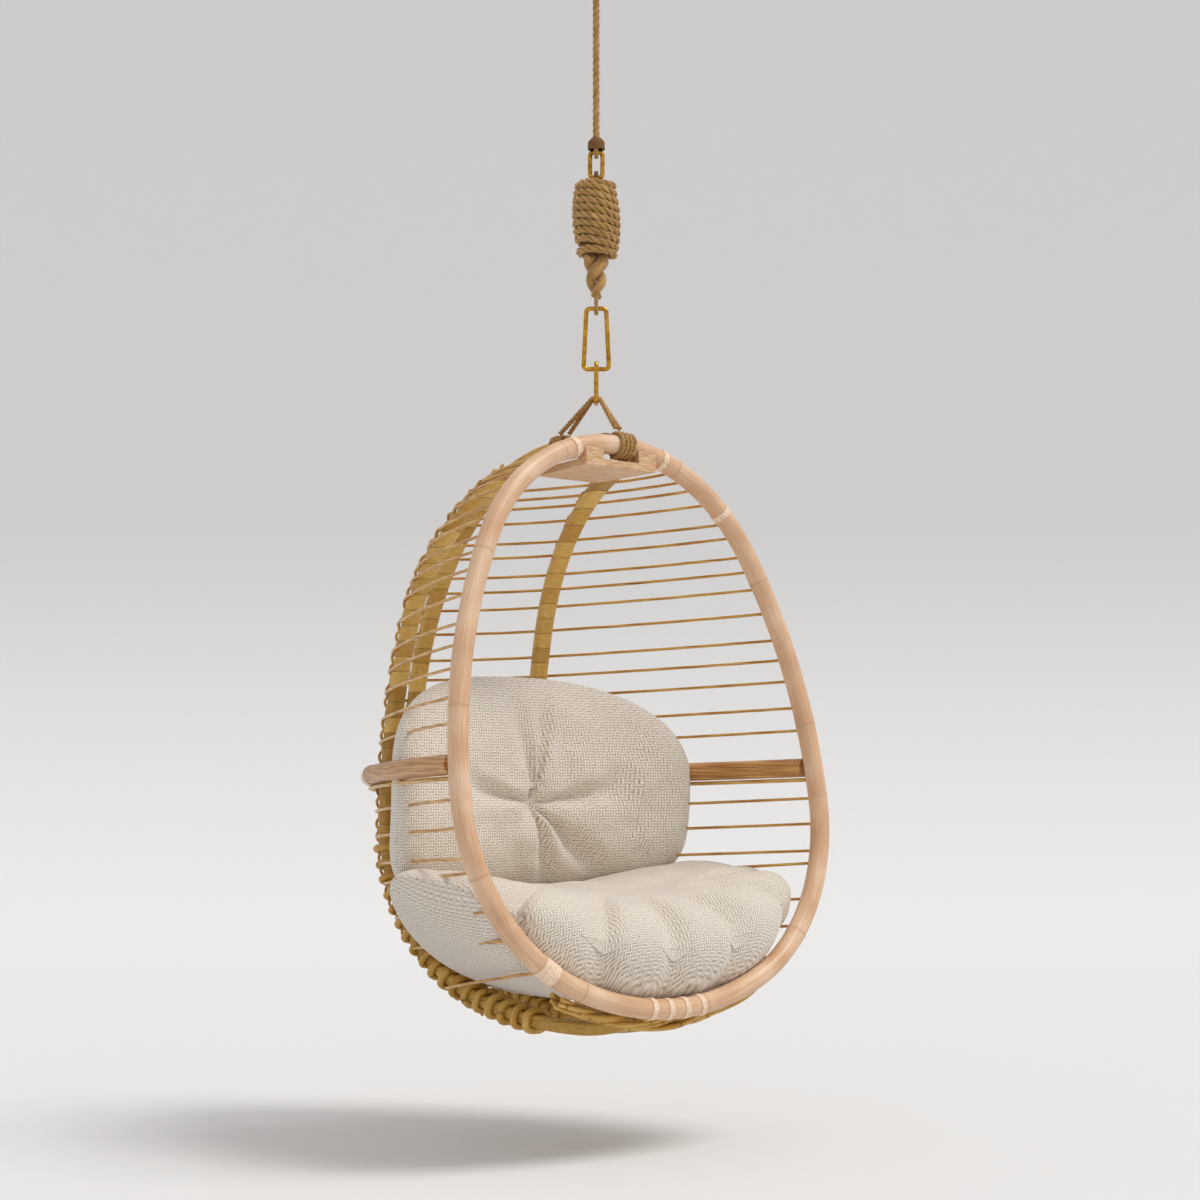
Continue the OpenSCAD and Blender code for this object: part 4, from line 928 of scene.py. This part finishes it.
def seat_form(r, angle, top):
    c, s, k = outline(angle, SEAT_SQUARE)
    x, y = r * k * c * SEAT_HALF_W, SEAT_Y + r * k * s * SEAT_HALF_D
    ahead, behind = max(0, -s) * r, max(0, s) * r
    rim = SEAT_Z + SIDE_RISE * (x / RISE_AT) ** 2 + REAR_RISE * behind
    seam = max(fold(angle, at, CHANNEL_WIDE) for at in CHANNELS)
    if top:
        puff = SEAT_PUFF * max(0, 1 - r ** 4.2) ** 0.5
        dents = 7 * noise.noise(Vector((x, y, 5)) / 75) * min(1, 5 * (1 - r))
        z = rim + puff - CHANNEL_DEEP * seam * min(1, 2.2 * max(0, r - 0.45)) + dents
    else:
        drop = (SEAT_DROP - FRONT_TUCK * ahead) * max(0, 1 - r ** 4) ** 0.5
        z = min(max(rim - drop, floor_at(x, y)), rim)
    pull = 1 - CHANNEL_PULL * seam * min(1, 3 * max(0, r - 0.6))
    return held_in(Vector((x * pull, SEAT_Y + (y - SEAT_Y) * pull, z)))

def seat_cloth(p, side):
    return p[0], p[1] + p[2], 0

cushion("seat_pad", seat_form, seat_cloth, "seat_cushion")

# %% [markdown]
# ## Floor, backdrop and light
# The floor runs up into the backdrop in one wide curve, so no line shows behind the chair. The
# curve is an extruded edge: one line of points is drawn and pulled sideways.

# %% Floor and backdrop
FLOOR, NEAR, FAR, CURVE_R, TOP, HALF_WIDE = -2.45, -9, 5.0, 2.0, 9.0, 12
VIEW, ASIDE = Vector((0.669, 0.743, 0)), Vector((0.743, -0.669, 0))
profile = [(NEAR, 0), (FAR, 0)] + \
    [(FAR + CURVE_R * math.sin(a), CURVE_R - CURVE_R * math.cos(a))
     for a in [math.pi / 2 * k / 16 for k in range(1, 17)]] + [(FAR + CURVE_R, TOP)]
bm = bmesh.new()
line = [bm.verts.new(VIEW * d + Vector((0, 0, FLOOR + h)) - ASIDE * HALF_WIDE)
        for d, h in profile]
edges = [bm.edges.new(pair) for pair in zip(line, line[1:])]
pulled = bmesh.ops.extrude_edge_only(bm, edges=edges)["geom"]
bmesh.ops.translate(bm, vec=ASIDE * 2 * HALF_WIDE,
                    verts=[v for v in pulled if isinstance(v, bmesh.types.BMVert)])
sweep = bpy.data.meshes.new("backdrop")
bm.to_mesh(sweep)
bm.free()
backdrop = finished("backdrop", sweep, close=False)
paper, tree, shader = start("matt_paper", 0.95)
shader.inputs["Base Color"].default_value = linear("#E1E0DF")
backdrop.data.materials.append(paper)
print("the floor lies", -FLOOR, "m under the ceiling")

# %% [markdown]
# A pale even world gives most of the light. One sun with a wide angle, high on the left and
# in front, adds soft shadows, so that the canes and folds stand out.

# %% Light
world = bpy.data.worlds.new("studio")
world.use_nodes = True
world.node_tree.nodes["Background"].inputs["Color"].default_value = linear("#F4F4F6")
world.node_tree.nodes["Background"].inputs["Strength"].default_value = 0.72
bpy.context.scene.world = world
sun = bpy.data.objects.new("soft_sun", bpy.data.lights.new("soft_sun", "SUN"))
sun.data.energy = 1.7
sun.data.angle = math.radians(24)
sun.data.color = (1.0, 0.985, 0.965)
sun.rotation_euler = Vector((0.312, -0.55, 1.0)).to_track_quat("Z", "Y").to_euler()
bpy.context.collection.objects.link(sun)
bpy.context.scene.view_settings.view_transform = "Standard"
print("sun strength:", sun.data.energy)
